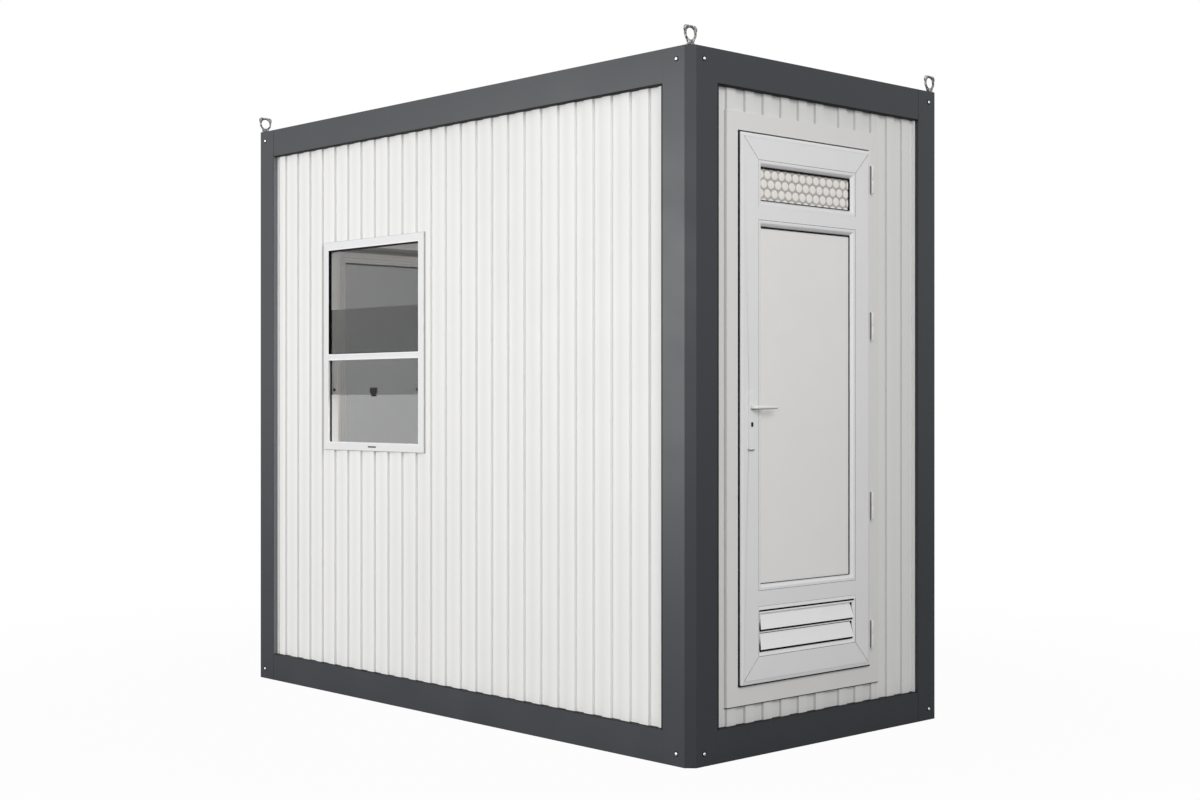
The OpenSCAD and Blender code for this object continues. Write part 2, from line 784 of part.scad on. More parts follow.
front_left_post();
front_right_post();
back_left_post();
back_right_post();
front_bottom_rail();
back_bottom_rail();
left_bottom_rail();
door_bottom_rail();
front_top_rail();
back_top_rail();
left_top_rail();
door_top_rail();
front_left_eye();
front_right_eye();
back_left_eye();
back_right_eye();
front_wall_left();
front_wall_right();
front_wall_over_window();
front_wall_under_window();
back_wall();
left_wall();
door_wall_front();
door_wall_back();
door_wall_over_door();
door_wall_under_door();
floor_board();
floor_joists();
ceiling_panel();
roof_panel();
front_window_frame();
front_window_fixed_pane();
front_window_sliding_pane();
front_window_catches();
left_window_frame();
left_window_panes();
left_window_blind_box();
door_frame();
door_hinge_pins();
door_leaf();
door_beads();
door_glass();
door_panel();
door_louvre();
door_hinge_barrels();
door_handle_plates();
door_lever();
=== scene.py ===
"""Looks of the security guard booth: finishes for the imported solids, small fittings, stage, light and camera.

Lengths are in metres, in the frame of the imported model: the serving window faces -Y and the door +X.
Fittings on a wall are placed by (u, d, z): u along the wall, d inwards from the steel frame's face, z up.
"""
import math

import bmesh
import bpy
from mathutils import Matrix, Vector


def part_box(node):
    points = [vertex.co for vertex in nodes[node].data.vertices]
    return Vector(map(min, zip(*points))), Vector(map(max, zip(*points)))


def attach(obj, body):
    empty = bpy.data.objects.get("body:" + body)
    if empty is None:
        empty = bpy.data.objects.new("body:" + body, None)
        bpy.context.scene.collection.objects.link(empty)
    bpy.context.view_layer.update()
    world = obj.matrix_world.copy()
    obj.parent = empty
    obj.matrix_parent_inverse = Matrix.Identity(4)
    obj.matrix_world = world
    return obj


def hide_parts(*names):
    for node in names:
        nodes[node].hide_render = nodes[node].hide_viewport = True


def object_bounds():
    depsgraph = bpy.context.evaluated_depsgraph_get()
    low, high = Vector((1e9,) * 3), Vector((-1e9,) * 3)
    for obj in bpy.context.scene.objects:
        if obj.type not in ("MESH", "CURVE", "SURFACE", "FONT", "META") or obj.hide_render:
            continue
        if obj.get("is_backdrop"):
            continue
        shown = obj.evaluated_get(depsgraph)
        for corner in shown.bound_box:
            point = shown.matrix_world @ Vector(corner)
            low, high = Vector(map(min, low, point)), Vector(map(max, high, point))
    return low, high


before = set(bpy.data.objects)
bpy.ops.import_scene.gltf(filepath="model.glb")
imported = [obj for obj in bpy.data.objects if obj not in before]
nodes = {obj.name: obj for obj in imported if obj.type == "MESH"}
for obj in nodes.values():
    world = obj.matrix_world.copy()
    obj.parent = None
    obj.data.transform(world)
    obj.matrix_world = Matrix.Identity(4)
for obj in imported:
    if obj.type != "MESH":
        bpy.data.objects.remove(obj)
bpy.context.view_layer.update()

# Sizes of the cabin
HALF_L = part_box("front_right_post")[1].x
HALF_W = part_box("back_right_post")[1].y
CABIN_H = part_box("front_right_post")[1].z
WALL_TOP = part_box("front_top_rail")[0].z
WALL_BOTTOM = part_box("front_bottom_rail")[1].z
FRONT_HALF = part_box("front_top_rail")[1].x
END_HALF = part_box("door_top_rail")[1].y
WALLS = (("front", FRONT_HALF), ("back", FRONT_HALF), ("left", END_HALF), ("door", END_HALF))

# Cladding: depth of its crests behind the frame's face and of its valleys below them, pitch and place of the ribs
SKIN_INSET = 0.021
RIB_DEPTH = 0.0085
RIB_PITCH = 0.1012
RIB_START = 0.235
DOOR_RIB_START = 1.064

# How far a fitting is let into what carries it, laps under it or stays clear of it
SUNK = 0.001
LAP = 0.0005
CLEARANCE = 0.0005


# Walls and their coordinates

# Each wall's direction along it, its direction outwards and the distance of its face from the cabin's middle
SIDES = {
    "front": (Vector((1, 0, 0)), Vector((0, -1, 0)), HALF_W), "door": (Vector((0, 1, 0)), Vector((1, 0, 0)), HALF_L),
    "back": (Vector((-1, 0, 0)), Vector((0, 1, 0)), HALF_W), "left": (Vector((0, -1, 0)), Vector((-1, 0, 0)), HALF_L),
}


def at(side, u, d, z):
    """World place of a point given in one wall's coordinates."""
    along, outwards, reach = SIDES[side]
    return along * u + outwards * (reach - d) + Vector((0, 0, z))


def span(node, side):
    """Lowest and highest (u, d, z) of a CAD node in one wall's coordinates."""
    along, outwards, reach = SIDES[side]
    first, second = ((along.dot(p), reach - outwards.dot(p), p.z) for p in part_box(node))
    return tuple(map(min, first, second)), tuple(map(max, first, second))


def inset(rect, left, bottom, right, top):
    """A (u0, z0, u1, z1) rectangle drawn in on each side."""
    u0, z0, u1, z1 = rect
    return (u0 + left, z0 + bottom, u1 - right, z1 - top)


def evenly(rect, amount):
    """A rectangle drawn in by the same amount on all sides."""
    return inset(rect, amount, amount, amount, amount)


def face_rect(low, high):
    """The (u0, z0, u1, z1) rectangle of a span."""
    return (low[0], low[2], high[0], high[2])


# Materials

# Painted sheet: drift of its colour as (scale, detail, stretch) of noise, orange peel as (scale, detail)
DRIFT, PAINT_SPREAD = (2.5, 5.0, (1.0, 1.0, 0.35)), 0.015
PEEL, PEEL_STRENGTH, PEEL_DEPTH = (420.0, 2.0), 0.1, 0.00002
GLOSS_SCALE, PAINT_GLOSS, PAINT_SPECULAR = 5.0, (0.42, 0.48), 0.25

# Cladding: facing of flats and of flanks, depth where a flank's painted shade sets in, painted shadow beside a post
FLAT_FACING, FLANK_FACING = 0.99, 0.95
RIB_SHADE_FROM, RIB_SHADE_FADE = SKIN_INSET + 0.0044, 0.0008
POST_SHADOW_START, POST_SHADOW_END = 0.055 - END_HALF, 0.075 - END_HALF

# Plastic: painted shade on faces that look down, fading out between these heights of the normal
UNDERSIDE, UNDERSIDE_END = -0.7, -0.2
GLASS_IOR = 1.32


def feed(tree, socket, value):
    """Links a socket to another one, or sets it to a plain value."""
    if isinstance(value, bpy.types.NodeSocket):
        tree.links.new(value, socket)
    else:
        socket.default_value = value


def add_node(tree, kind, *values, operation=None, **inputs):
    """Shader node whose first inputs are fed in their order, and others by name."""
    made = tree.nodes.new(kind)
    if operation:
        made.operation = operation
    for socket, value in zip(made.inputs, values):
        feed(tree, socket, value)
    for key, value in inputs.items():
        feed(tree, made.inputs[key.replace("_", " ")], value)
    return made


class Finish:
    """A Principled material whose colour, roughness and relief come from noise in the piece's own space."""

    def __init__(self, name, roughness=0.4, metallic=0.0, specular=0.5):
        self.material = bpy.data.materials.new(name)
        self.material.use_nodes = True
        self.tree = self.material.node_tree
        self.shader = self.tree.nodes["Principled BSDF"]
        self.shader.inputs["Roughness"].default_value = roughness
        self.shader.inputs["Metallic"].default_value = metallic
        self.shader.inputs["Specular IOR Level"].default_value = specular
        self.coords = self.tree.nodes.new("ShaderNodeTexCoord").outputs["Object"]

    def node(self, kind, *values, **inputs):
        return add_node(self.tree, kind, *values, **inputs)

    def noise(self, scale, detail=3.0, stretch=None):
        """Noise over the piece, whose coordinates may be scaled by a factor for each axis."""
        coords = self.coords
        if stretch:
            coords = self.node("ShaderNodeMapping", Vector=coords, Scale=stretch).outputs["Vector"]
        return self.node("ShaderNodeTexNoise", Vector=coords, Scale=scale, Detail=detail).outputs["Fac"]

    def cells(self, scale):
        return self.node("ShaderNodeTexVoronoi", Vector=self.coords, Scale=scale).outputs["Color"]

    def maths(self, operation, first, second):
        return self.node("ShaderNodeMath", first, second, operation=operation).outputs[0]

    def sized(self, vector):
        """Unsigned X, Y and Z of a vector."""
        unsigned = self.node("ShaderNodeVectorMath", vector, operation="ABSOLUTE").outputs["Vector"]
        return self.node("ShaderNodeSeparateXYZ", Vector=unsigned).outputs

    def ramp(self, value, low, high, start=0.3, end=0.7):
        """Colours from low to high as a value goes from start to end."""
        made = self.node("ShaderNodeValToRGB", Fac=value)
        ends = made.color_ramp.elements
        ends[0].position, ends[1].position = start, end
        ends[0].color, ends[1].color = (*low, 1.0), (*high, 1.0)
        return made.outputs["Color"]

    def colour(self, value, low, high, start=0.3, end=0.7):
        feed(self.tree, self.shader.inputs["Base Color"], self.ramp(value, low, high, start, end))

    def scaled_colour(self, colour, level):
        """Base colour from a colour and a level."""
        made = self.node("ShaderNodeVectorMath", colour, operation="SCALE", Scale=level)
        feed(self.tree, self.shader.inputs["Base Color"], made.outputs["Vector"])

    def roughness(self, value, low, high):
        made = self.node("ShaderNodeMapRange", Value=value, From_Min=0.3, From_Max=0.7, To_Min=low, To_Max=high)
        feed(self.tree, self.shader.inputs["Roughness"], made.outputs["Result"])

    def relief(self, value, strength, depth):
        made = self.node("ShaderNodeBump", Height=value, Strength=strength, Distance=depth)
        feed(self.tree, self.shader.inputs["Normal"], made.outputs["Normal"])


def tone(colour, factor):
    return tuple(c * factor for c in colour)


def paint_surface(made, gloss):
    """Uneven gloss and orange peel of a sprayed or coil-coated sheet."""
    made.roughness(made.noise(GLOSS_SCALE), *gloss)
    made.relief(made.noise(*PEEL), PEEL_STRENGTH, PEEL_DEPTH)
    return made.material


def coated(name, colour, spread=PAINT_SPREAD, gloss=PAINT_GLOSS, specular=PAINT_SPECULAR):
    """Sprayed or coil-coated paint, with a faint upright drift of its colour."""
    made = Finish(name, specular=specular)
    made.colour(made.noise(*DRIFT), tone(colour, 1 - spread), tone(colour, 1 + spread))
    return paint_surface(made, gloss)


def ribbed(name, colour, ribs, shade, middle_shade, post_shadow=1.0, shade_from=RIB_SHADE_FROM):
    """Coil-coated cladding, with painted shade in its steep rib flanks from a depth on.

    Ribs are (axis that the wall faces, half size of the cabin there, axis along the wall, start of the ribs on it).
    Between two lines of ribs the sheet is painted darker towards the middle, as painted shade. Beside the post at the
    low end of the wall its colour is dimmed by a factor, as a painted shadow of the post.
    """
    axis, half, along, start = ribs
    made = Finish(name, specular=PAINT_SPECULAR)
    drift = made.ramp(made.noise(*DRIFT), tone(colour, 1 - PAINT_SPREAD), tone(colour, 1 + PAINT_SPREAD))
    geometry = made.node("ShaderNodeNewGeometry")
    facing = made.sized(geometry.outputs["True Normal"])
    place = made.sized(geometry.outputs["Position"])
    widest = made.maths("MAXIMUM", facing["X"], facing["Y"])
    # Painted shade in the steep rib flanks, from a depth on
    steep = made.node("ShaderNodeMapRange", Value=widest, From_Min=FLAT_FACING, From_Max=FLANK_FACING)
    depth = made.maths("SUBTRACT", half, place[axis])
    deep = made.node("ShaderNodeMapRange", Value=depth, From_Min=shade_from, From_Max=shade_from + RIB_SHADE_FADE)
    flank = made.maths("MULTIPLY", steep.outputs["Result"], deep.outputs["Result"])
    shaded = made.maths("SUBTRACT", 1.0, made.maths("MULTIPLY", flank, 1 - shade))
    run = made.node("ShaderNodeSeparateXYZ", Vector=geometry.outputs["Position"]).outputs[along]
    # Painted shade towards the middle between two lines of ribs
    turns = made.maths("DIVIDE", made.maths("SUBTRACT", run, start), RIB_PITCH)
    middle = made.maths("MULTIPLY", made.maths("PINGPONG", turns, 0.5), 2 * middle_shade)
    level = made.maths("MULTIPLY", shaded, made.maths("SUBTRACT", 1.0, middle))
    # Painted shadow of the post beside the wall's low end
    beside = made.node("ShaderNodeMapRange", Value=run, From_Min=POST_SHADOW_START, From_Max=POST_SHADOW_END,
                       To_Min=post_shadow, To_Max=1.0)
    made.scaled_colour(drift, made.maths("MULTIPLY", level, beside.outputs["Result"]))
    return paint_surface(made, PAINT_GLOSS)


def plastic(name, colour, roughness=(0.30, 0.36), spread=0.01, specular=0.5, under=1.0):
    """Extruded or moulded plastic: even colour, slight cloud in the gloss, fine moulding texture.

    Faces that look down are painted darker by a factor, as painted shade.
    """
    made = Finish(name, specular=specular)
    cloud = made.ramp(made.noise(6.0, 4.0), tone(colour, 1 - spread), tone(colour, 1 + spread))
    # Painted shade on faces that look down
    normal = made.node("ShaderNodeNewGeometry").outputs["Normal"]
    up = made.node("ShaderNodeSeparateXYZ", Vector=normal).outputs["Z"]
    level = made.node("ShaderNodeMapRange", Value=up, From_Min=UNDERSIDE, From_Max=UNDERSIDE_END,
                      To_Min=under, To_Max=1.0)
    made.scaled_colour(cloud, level.outputs["Result"])
    made.roughness(made.noise(4.0), *roughness)
    made.relief(made.noise(900.0, 2.0), 0.05, 0.00001)
    return made.material


def float_glass(name, colour):
    """Tinted float glass with a slight waviness; the low index keeps the white surroundings' reflection down."""
    made = Finish(name, roughness=0.0)
    made.shader.inputs["Transmission Weight"].default_value = 1.0
    made.shader.inputs["IOR"].default_value = GLASS_IOR
    made.colour(made.noise(1.5, 2.0), tone(colour, 0.985), tone(colour, 1.015))
    made.relief(made.noise(3.0, 1.0), 0.1, 0.0004)
    return made.material


def zinc(name, dark, light, crystals):
    """Galvanising: grey metal with a mottle of crystals."""
    made = Finish(name, metallic=1.0)
    made.colour(made.cells(crystals), dark, light, 0.1, 0.9)
    made.roughness(made.noise(120.0, 4.0), 0.26, 0.4)
    made.relief(made.noise(260.0, 4.0), 0.3, 0.0002)
    return made.material


def vinyl(name):
    """Sheet flooring with a fine fleck."""
    made = Finish(name)
    made.colour(made.cells(260.0), (0.20, 0.19, 0.18), (0.34, 0.33, 0.31), 0.2, 0.8)
    made.roughness(made.noise(14.0), 0.45, 0.6)
    made.relief(made.noise(500.0, 2.0), 0.2, 0.0001)
    return made.material


STEEL = coated("anthracite_paint", (0.0485, 0.052, 0.058), 0.03, (0.30, 0.36), 0.18)
# Lighter copy of the frame's paint, on the post's return at one end of each long wall: painted light
RETURN_LIGHT_STEEL = coated("post_return_light_paint", (0.19, 0.20, 0.215), 0.03, (0.30, 0.36), 0.25)
# Painted shade in the rib flanks, deeper on the end walls and door bands; end walls: painted shadow beside a post
FRONT_RIBS = ("Y", HALF_W, "X", HALF_L - RIB_START)
END_RIBS = ("X", HALF_L, "Y", DOOR_RIB_START - HALF_W)
PANEL = ribbed("panel_white", (0.84, 0.837, 0.827), FRONT_RIBS, shade=0.95, middle_shade=0.09)
END_PANEL = ribbed("end_panel_white", (0.82, 0.817, 0.807), END_RIBS, shade=0.68, middle_shade=0.025, post_shadow=0.92,
                   shade_from=SKIN_INSET)
# Dimmer copy of the end walls' cladding over and under the door: painted shade
SHADED_DOOR_BAND = ribbed("door_band_shaded_white", (0.77, 0.767, 0.758), END_RIBS, shade=0.68, middle_shade=0.025,
                   shade_from=SKIN_INSET)
CEILING = coated("ceiling_white", (0.81, 0.807, 0.797))
# Lighter white on the long walls' edge strips: painted light
LIT_EDGE_WHITE = coated("panel_edge_lit_white", (0.93, 0.927, 0.917))
END_EDGE_WHITE = coated("end_panel_edge_white", (0.80, 0.797, 0.787))
ROOF = coated("roof_white", (0.72, 0.717, 0.705), 0.05, (0.45, 0.55))
PVC = plastic("profile_white", (0.83, 0.83, 0.834))
JAMB = plastic("casing_white", (0.77, 0.762, 0.748), (0.36, 0.42))
INFILL = plastic("infill_white", (0.86, 0.845, 0.826), (0.36, 0.42))
WINDOW_PVC = plastic("window_white", (0.74, 0.74, 0.742), (0.30, 0.36), 0.01, 0.3)
# Lighter copy of the profile white for the louvre: painted light from above
LIT_BLADE = plastic("louvre_lit_white", (0.93, 0.93, 0.935))
# Lever and handle plates: painted shade on their downward faces
FURNITURE = plastic("furniture_white", (0.84, 0.84, 0.84), (0.2, 0.26), under=0.3)
HINGE = plastic("hinge_cover", (0.78, 0.772, 0.758), (0.4, 0.5))
# Dark grey on the hinges' edges: painted shade
HINGE_SHADE = plastic("hinge_painted_shade", (0.17, 0.168, 0.165), (0.4, 0.5))
SEALANT = plastic("grey_sealant", (0.30, 0.30, 0.298), (0.5, 0.6))
CASING_SEALANT = plastic("casing_sealant", (0.57, 0.565, 0.555), (0.5, 0.6))
BLACK = plastic("black_rubber", (0.008, 0.008, 0.009), (0.5, 0.6), 0.1, 0.08)
GLASS = float_glass("grey_glass", (0.45, 0.452, 0.455))
END_GLASS = float_glass("light_grey_glass", (0.60, 0.602, 0.604))
LENS = plastic("cast_glass_lens", (0.89, 0.86, 0.825), (0.15, 0.25))
# Darker rims of the lenses: painted shade
LENS_RIM_SHADE = plastic("cast_glass_lens_rim_shade", (0.60, 0.575, 0.545), (0.15, 0.25))
# Dark grey of the patterned pane between the lenses: painted shade
WEB_SHADE = plastic("cast_glass_web_shade", (0.42, 0.40, 0.375), (0.2, 0.3))
LINING = plastic("room_lining", (0.38, 0.372, 0.345), (0.4, 0.5))
GALVANISED = zinc("galvanised_steel", (0.05, 0.051, 0.053), (0.46, 0.463, 0.468), 130.0)
BRIGHT_ZINC = zinc("bright_zinc", (0.74, 0.75, 0.76), (0.86, 0.87, 0.88), 900.0)
VINYL = vinyl("floor_vinyl")

NODE_FINISH = {
    STEEL: ("post", "rail", "floor_joists"),
    GALVANISED: ("eye",),
    PANEL: ("front_wall", "back_wall"),
    END_PANEL: ("left_wall", "door_wall"),
    SHADED_DOOR_BAND: ("over_door", "under_door"),
    CEILING: ("ceiling_panel",),
    ROOF: ("roof_panel",),
    VINYL: ("floor_board",),
    WINDOW_PVC: ("front_window_frame",),
    PVC: ("left_window_frame", "blind_box", "door_leaf", "door_beads"),
    LIT_BLADE: ("door_louvre",),
    JAMB: ("door_frame",),
    INFILL: ("door_panel",),
    FURNITURE: ("door_handle_plates", "door_lever"),
    HINGE: ("door_hinge",),
    GLASS: ("fixed_pane", "sliding_pane"),
    END_GLASS: ("window_panes",),
    WEB_SHADE: ("door_glass",),
    BLACK: ("catches",),
}
for finish, words in NODE_FINISH.items():
    for word in words:
        for name, node in nodes.items():
            if word in name:
                node.data.materials.clear()
                node.data.materials.append(finish)


# Softened edges of the solids

EDGE_RADIUS = {
    "post": 0.0003, "rail": 0.0003, "window_frame": 0.0015, "blind_box": 0.004, "door_frame": 0.0015,
    "door_leaf": 0.002, "door_beads": 0.001, "roof_panel": 0.002, "handle_plates": 0.0025, "hinge": 0.0008,
}
WELD_DISTANCE = 0.00002
EDGE_ANGLE = math.radians(25)


def soften(piece, radius, segments=3):
    """Welds a piece's faces and rounds its edges, with modifiers only."""
    weld = piece.modifiers.new("weld", "WELD")
    weld.merge_threshold = WELD_DISTANCE
    bevel = piece.modifiers.new("round", "BEVEL")
    bevel.width = radius
    bevel.segments = segments
    bevel.limit_method = "ANGLE"
    bevel.angle_limit = EDGE_ANGLE
    bevel.harden_normals = True


for name, node in nodes.items():
    for word, radius in EDGE_RADIUS.items():
        if word in name:
            soften(node, radius)
            break


# Mesh builders for the fittings


def new_piece(name, mesh, finish, body, radius=0.0, smooth=False):
    """Turns a bmesh into a named piece that rides on a body, with its edges rounded."""
    bmesh.ops.recalc_face_normals(mesh, faces=mesh.faces)
    data = bpy.data.meshes.new(name)
    mesh.to_mesh(data)
    mesh.free()
    for polygon in data.polygons:
        polygon.use_smooth = smooth
    for material in finish if isinstance(finish, list) else [finish]:
        data.materials.append(material)
    piece = bpy.data.objects.new(name, data)
    bpy.context.scene.collection.objects.link(piece)
    if radius:
        soften(piece, radius, 2)
    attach(piece, body)
    return piece


def black_piece(name, mesh, body="cabin"):
    """Seal, gasket, screen, dark line or painted shade."""
    return new_piece(name, mesh, BLACK, body)


def add_loops(mesh, loops, closed=False, caps=True):
    """Skin over a row of vertex loops of equal length."""
    count = len(loops[0])
    pairs = list(zip(loops, loops[1:])) + ([(loops[-1], loops[0])] if closed else [])
    made = []
    for first, second in pairs:
        for k in range(count):
            made.append(mesh.faces.new((first[k], first[k - count + 1], second[k - count + 1], second[k])))
    if caps and not closed:
        made += [mesh.faces.new(loops[0]), mesh.faces.new(loops[-1])]
    return made


def rect_loop(mesh, side, rect, d):
    """Four corners of a (u0, z0, u1, z1) rectangle on a wall, at one depth."""
    u0, z0, u1, z1 = rect
    return [mesh.verts.new(at(side, u, d, z)) for u, z in ((u0, z0), (u1, z0), (u1, z1), (u0, z1))]


def add_ring(mesh, side, outer, inner, front, back):
    """Mitred ring on a wall between two rectangles and two depths."""
    section = ((outer, front), (outer, back), (inner, back), (inner, front))
    add_loops(mesh, [rect_loop(mesh, side, rect, d) for rect, d in section], True)


def add_profile_ring(mesh, side, rect, profile):
    """Mitred ring inside a rectangle on a wall, from (distance in from the rectangle, depth) points."""
    add_loops(mesh, [rect_loop(mesh, side, evenly(rect, reach), d) for reach, d in profile], True)


def add_block(mesh, side, low, high):
    """Box on a wall between two (u, d, z) corners."""
    (u0, d0, z0), (u1, d1, z1) = low, high
    add_prism(mesh, side, [(d0, z0), (d1, z0), (d1, z1), (d0, z1)], u0, u1)


def add_prism(mesh, side, outline, u0, u1):
    """Bar along a wall whose section is a list of (d, z) points."""
    add_loops(mesh, [[mesh.verts.new(at(side, u, d, z)) for d, z in outline] for u in (u0, u1)])


def add_gasket(mesh, side, rect, widths, front, back):
    """Strips just inside a rectangle: left, bottom, right and top, each with its own width or none."""
    u0, z0, u1, z1 = rect
    left, bottom, right, top = widths
    for width, low, high in (
        (left, (u0, z0), (u0 + left, z1)), (bottom, (u0, z0), (u1, z0 + bottom)),
        (right, (u1 - right, z0), (u1, z1)), (top, (u0, z1 - top), (u1, z1)),
    ):
        if width:
            add_block(mesh, side, (low[0], front, low[1]), (high[0], back, high[1]))


def add_strip(mesh, side, start, end, width, front, back):
    """Flat bar from one (u, z) place on a wall to another."""
    run = Vector(end) - Vector(start)
    across = Vector((-run.y, run.x)).normalized() * width / 2
    corners = [Vector(start) + across, Vector(start) - across, Vector(end) - across, Vector(end) + across]
    add_loops(mesh, [[mesh.verts.new(at(side, p.x, d, p.y)) for p in corners] for d in (front, back)])


def round_angles(steps, shift=0.0):
    """Evenly spread angles of one turn, moved on by a share of a step."""
    return [2 * math.pi * (k + shift) / steps for k in range(steps)]


def add_lathe(mesh, centre, axis, profile, steps=24):
    """Round body from (radius, height) points, turned about an axis through a centre."""
    axis = Vector(axis).normalized()
    across = axis.orthogonal().normalized()
    along = axis.cross(across)
    rings = []
    for radius, height in profile:
        if radius == 0:
            rings.append([mesh.verts.new(Vector(centre) + axis * height)])
            continue
        rings.append([
            mesh.verts.new(Vector(centre) + axis * height + radius * (math.cos(a) * across + math.sin(a) * along))
            for a in round_angles(steps)
        ])
    for first, second in zip(rings, rings[1:]):
        for k in range(steps):
            quad = [first[k % len(first)], first[(k + 1) % len(first)],
                    second[(k + 1) % len(second)], second[k % len(second)]]
            mesh.faces.new(list(dict.fromkeys(quad)))


def add_sweep(mesh, side, stations, steps=20):
    """Round-sided bar through stations of (place, direction, half width, half height), all in (u, d) and z."""
    loops = []
    for (u, d, z), (du, dd), half_w, half_h in stations:
        length = math.hypot(du, dd)
        across = (-dd / length, du / length)
        loop = []
        for a in round_angles(steps):
            w = half_w * math.cos(a)
            loop.append(mesh.verts.new(at(side, u + across[0] * w, d + across[1] * w, z + half_h * math.sin(a))))
        loops.append(loop)
    add_loops(mesh, loops)


def add_stadium(mesh, side, centre, size, front, back, steps=8):
    """Plate with half-round ends on a wall, about a (u, z) centre and of a (width, height)."""
    (u, z), (width, height) = centre, size
    r = min(width, height) / 2
    outline = []
    for a in round_angles(4 * steps, 0.5):
        outline.append((u + math.copysign(width / 2 - r, math.cos(a)) + r * math.cos(a),
                        z + math.copysign(height / 2 - r, math.sin(a)) + r * math.sin(a)))
    add_loops(mesh, [[mesh.verts.new(at(side, p, d, q)) for p, q in outline] for d in (front, back)])


# Screws at the ends of each post face: a bright head on a rubber washer

SCREW_FROM_CORNER = 0.071
SCREW_FROM_END = 0.045
WASHER_PROFILE = [(0.0095, 0.0), (0.0095, 0.0008), (0.0088, 0.0013), (0.0, 0.0013)]
SCREW_PROFILE = [
    (0.0064, 0.0), (0.0064, 0.0016), (0.0060, 0.0026), (0.0048, 0.0036), (0.0030, 0.0041),
    (0.0024, 0.0028), (0.0, 0.0028),
]

screws, washers = bmesh.new(), bmesh.new()
for z in (SCREW_FROM_END, CABIN_H - SCREW_FROM_END):
    for end in (-1, 1):
        for face in (-1, 1):
            for place, axis in (
                ((end * (HALF_L - SCREW_FROM_CORNER), face * HALF_W, z), (0, face, 0)),
                ((end * HALF_L, face * (HALF_W - SCREW_FROM_CORNER), z), (end, 0, 0)),
            ):
                add_lathe(washers, place, axis, WASHER_PROFILE)
                add_lathe(screws, place, axis, SCREW_PROFILE)
new_piece("post_screws", screws, BRIGHT_ZINC, "cabin")
black_piece("post_washers", washers)


# Lifting eyes: a ribbed loop with a round hole and two heavy shoulders, on a welded collar

EYE_HOLE = (0.0225, 0.0215)
EYE_HOLE_Z = 0.043
EYE_T, EYE_LEAST_W = 0.005, 0.0075
EYE_SHOULDER_R, EYE_FOOT_R = 0.013, 0.012
EYE_FOOT_Z, EYE_BOTTOM_Z = 0.006, 0.002
EYE_WIDER = 0.0035
EYE_RIBS, EYE_RIB = 48, 0.0006
EYE_RIB_STEPS, EYE_RIB_HIGH_STEPS = 5, 2
EYE_SIDES = 16
EYE_COLLAR = [(0.0, 0.0), (0.019, 0.0), (0.019, 0.003), (0.0155, 0.007), (0.011, 0.010), (0.0, 0.010)]


def eye_reach(angle, half_w, height):
    """Distance from the middle of an eye's hole to its outline, at an angle from the level."""
    ray = Vector((math.cos(angle), math.sin(angle)))
    shoulder, top = half_w - EYE_SHOULDER_R, height - EYE_SHOULDER_R - EYE_HOLE_Z
    rise = top - (EYE_FOOT_Z - EYE_HOLE_Z)
    lean = math.acos((EYE_SHOULDER_R - EYE_FOOT_R) / math.hypot(shoulder, rise)) - math.atan2(rise, shoulder)
    reach = (top + EYE_SHOULDER_R) / ray.y if ray.y > 0 else 1.0
    slope = Vector((math.cos(lean), -math.sin(lean)))
    across = slope.x * abs(ray.x) + slope.y * ray.y
    if across > 0:
        reach = min(reach, (EYE_SHOULDER_R + slope.dot(Vector((shoulder, top)))) / across)
    if ray.y < 0:
        reach = min(reach, (EYE_HOLE_Z - EYE_BOTTOM_Z) / -ray.y)
    corner = Vector((math.copysign(shoulder, ray.x), top))
    along = corner.dot(ray)
    beyond = corner.length_squared - along * along
    if along > 0 and beyond < EYE_SHOULDER_R ** 2 and ray.y > 0:
        reach = min(reach, along + math.sqrt(EYE_SHOULDER_R ** 2 - beyond))
    return reach


def add_eye(mesh, base, half_w, height):
    """Loop in an upright plane whose section fills the room between a round hole and the outline."""
    hole = Vector(base) + Vector((0.0, 0.0, EYE_HOLE_Z))
    loops = []
    for k, a in enumerate(round_angles(EYE_RIBS * EYE_RIB_STEPS)):
        ray = Vector((0.0, math.cos(a), math.sin(a)))
        inner = 1 / math.hypot(ray.y / EYE_HOLE[0], ray.z / EYE_HOLE[1])
        outer = max(eye_reach(a, half_w, height), inner + EYE_LEAST_W)
        rib = EYE_RIB if k % EYE_RIB_STEPS < EYE_RIB_HIGH_STEPS else 0.0
        middle = hole + ray * (inner + outer) / 2
        along = ray * ((outer - inner) / 2 + rib)
        across = Vector((EYE_T + rib, 0.0, 0.0))
        loops.append([
            mesh.verts.new(middle + math.cos(b) * along + math.sin(b) * across) for b in round_angles(EYE_SIDES)
        ])
    add_loops(mesh, loops, True)


EYES = [name for name in nodes if name.endswith("_eye")]
eyes = bmesh.new()
for name in EYES:
    eye_low, eye_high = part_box(name)
    foot = Vector(((eye_low.x + eye_high.x) / 2, (eye_low.y + eye_high.y) / 2, eye_low.z))
    add_eye(eyes, foot, (eye_high.y - eye_low.y) / 2 + EYE_WIDER, eye_high.z - eye_low.z)
    add_lathe(eyes, foot, (0, 0, 1), EYE_COLLAR)
eyes = new_piece("lifting_eye_loops", eyes, GALVANISED, "cabin", smooth=True)
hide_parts(*EYES)


# Black strips where the wall panels meet the rails and the post at one end of each wall: seals that also stand in
# for the shadow under the top rail and beside the post, and painted shade on the bottom rail's ledge

SEAL_H, SEAL_SAG = 0.0035, 0.001
SEAL_FRONT, SEAL_BACK = 0.001, SKIN_INSET + 0.01
LEDGE_SHADE_H = 0.0012
END_SEAL_W = 0.007
SEALED_END = {"front": 1, "door": -1, "back": 1, "left": -1}


def from_end(end, half, near, far):
    """Lowest and highest u between two distances in from one end of a wall, -1 or 1."""
    return sorted((end * (half - near), end * (half - far)))


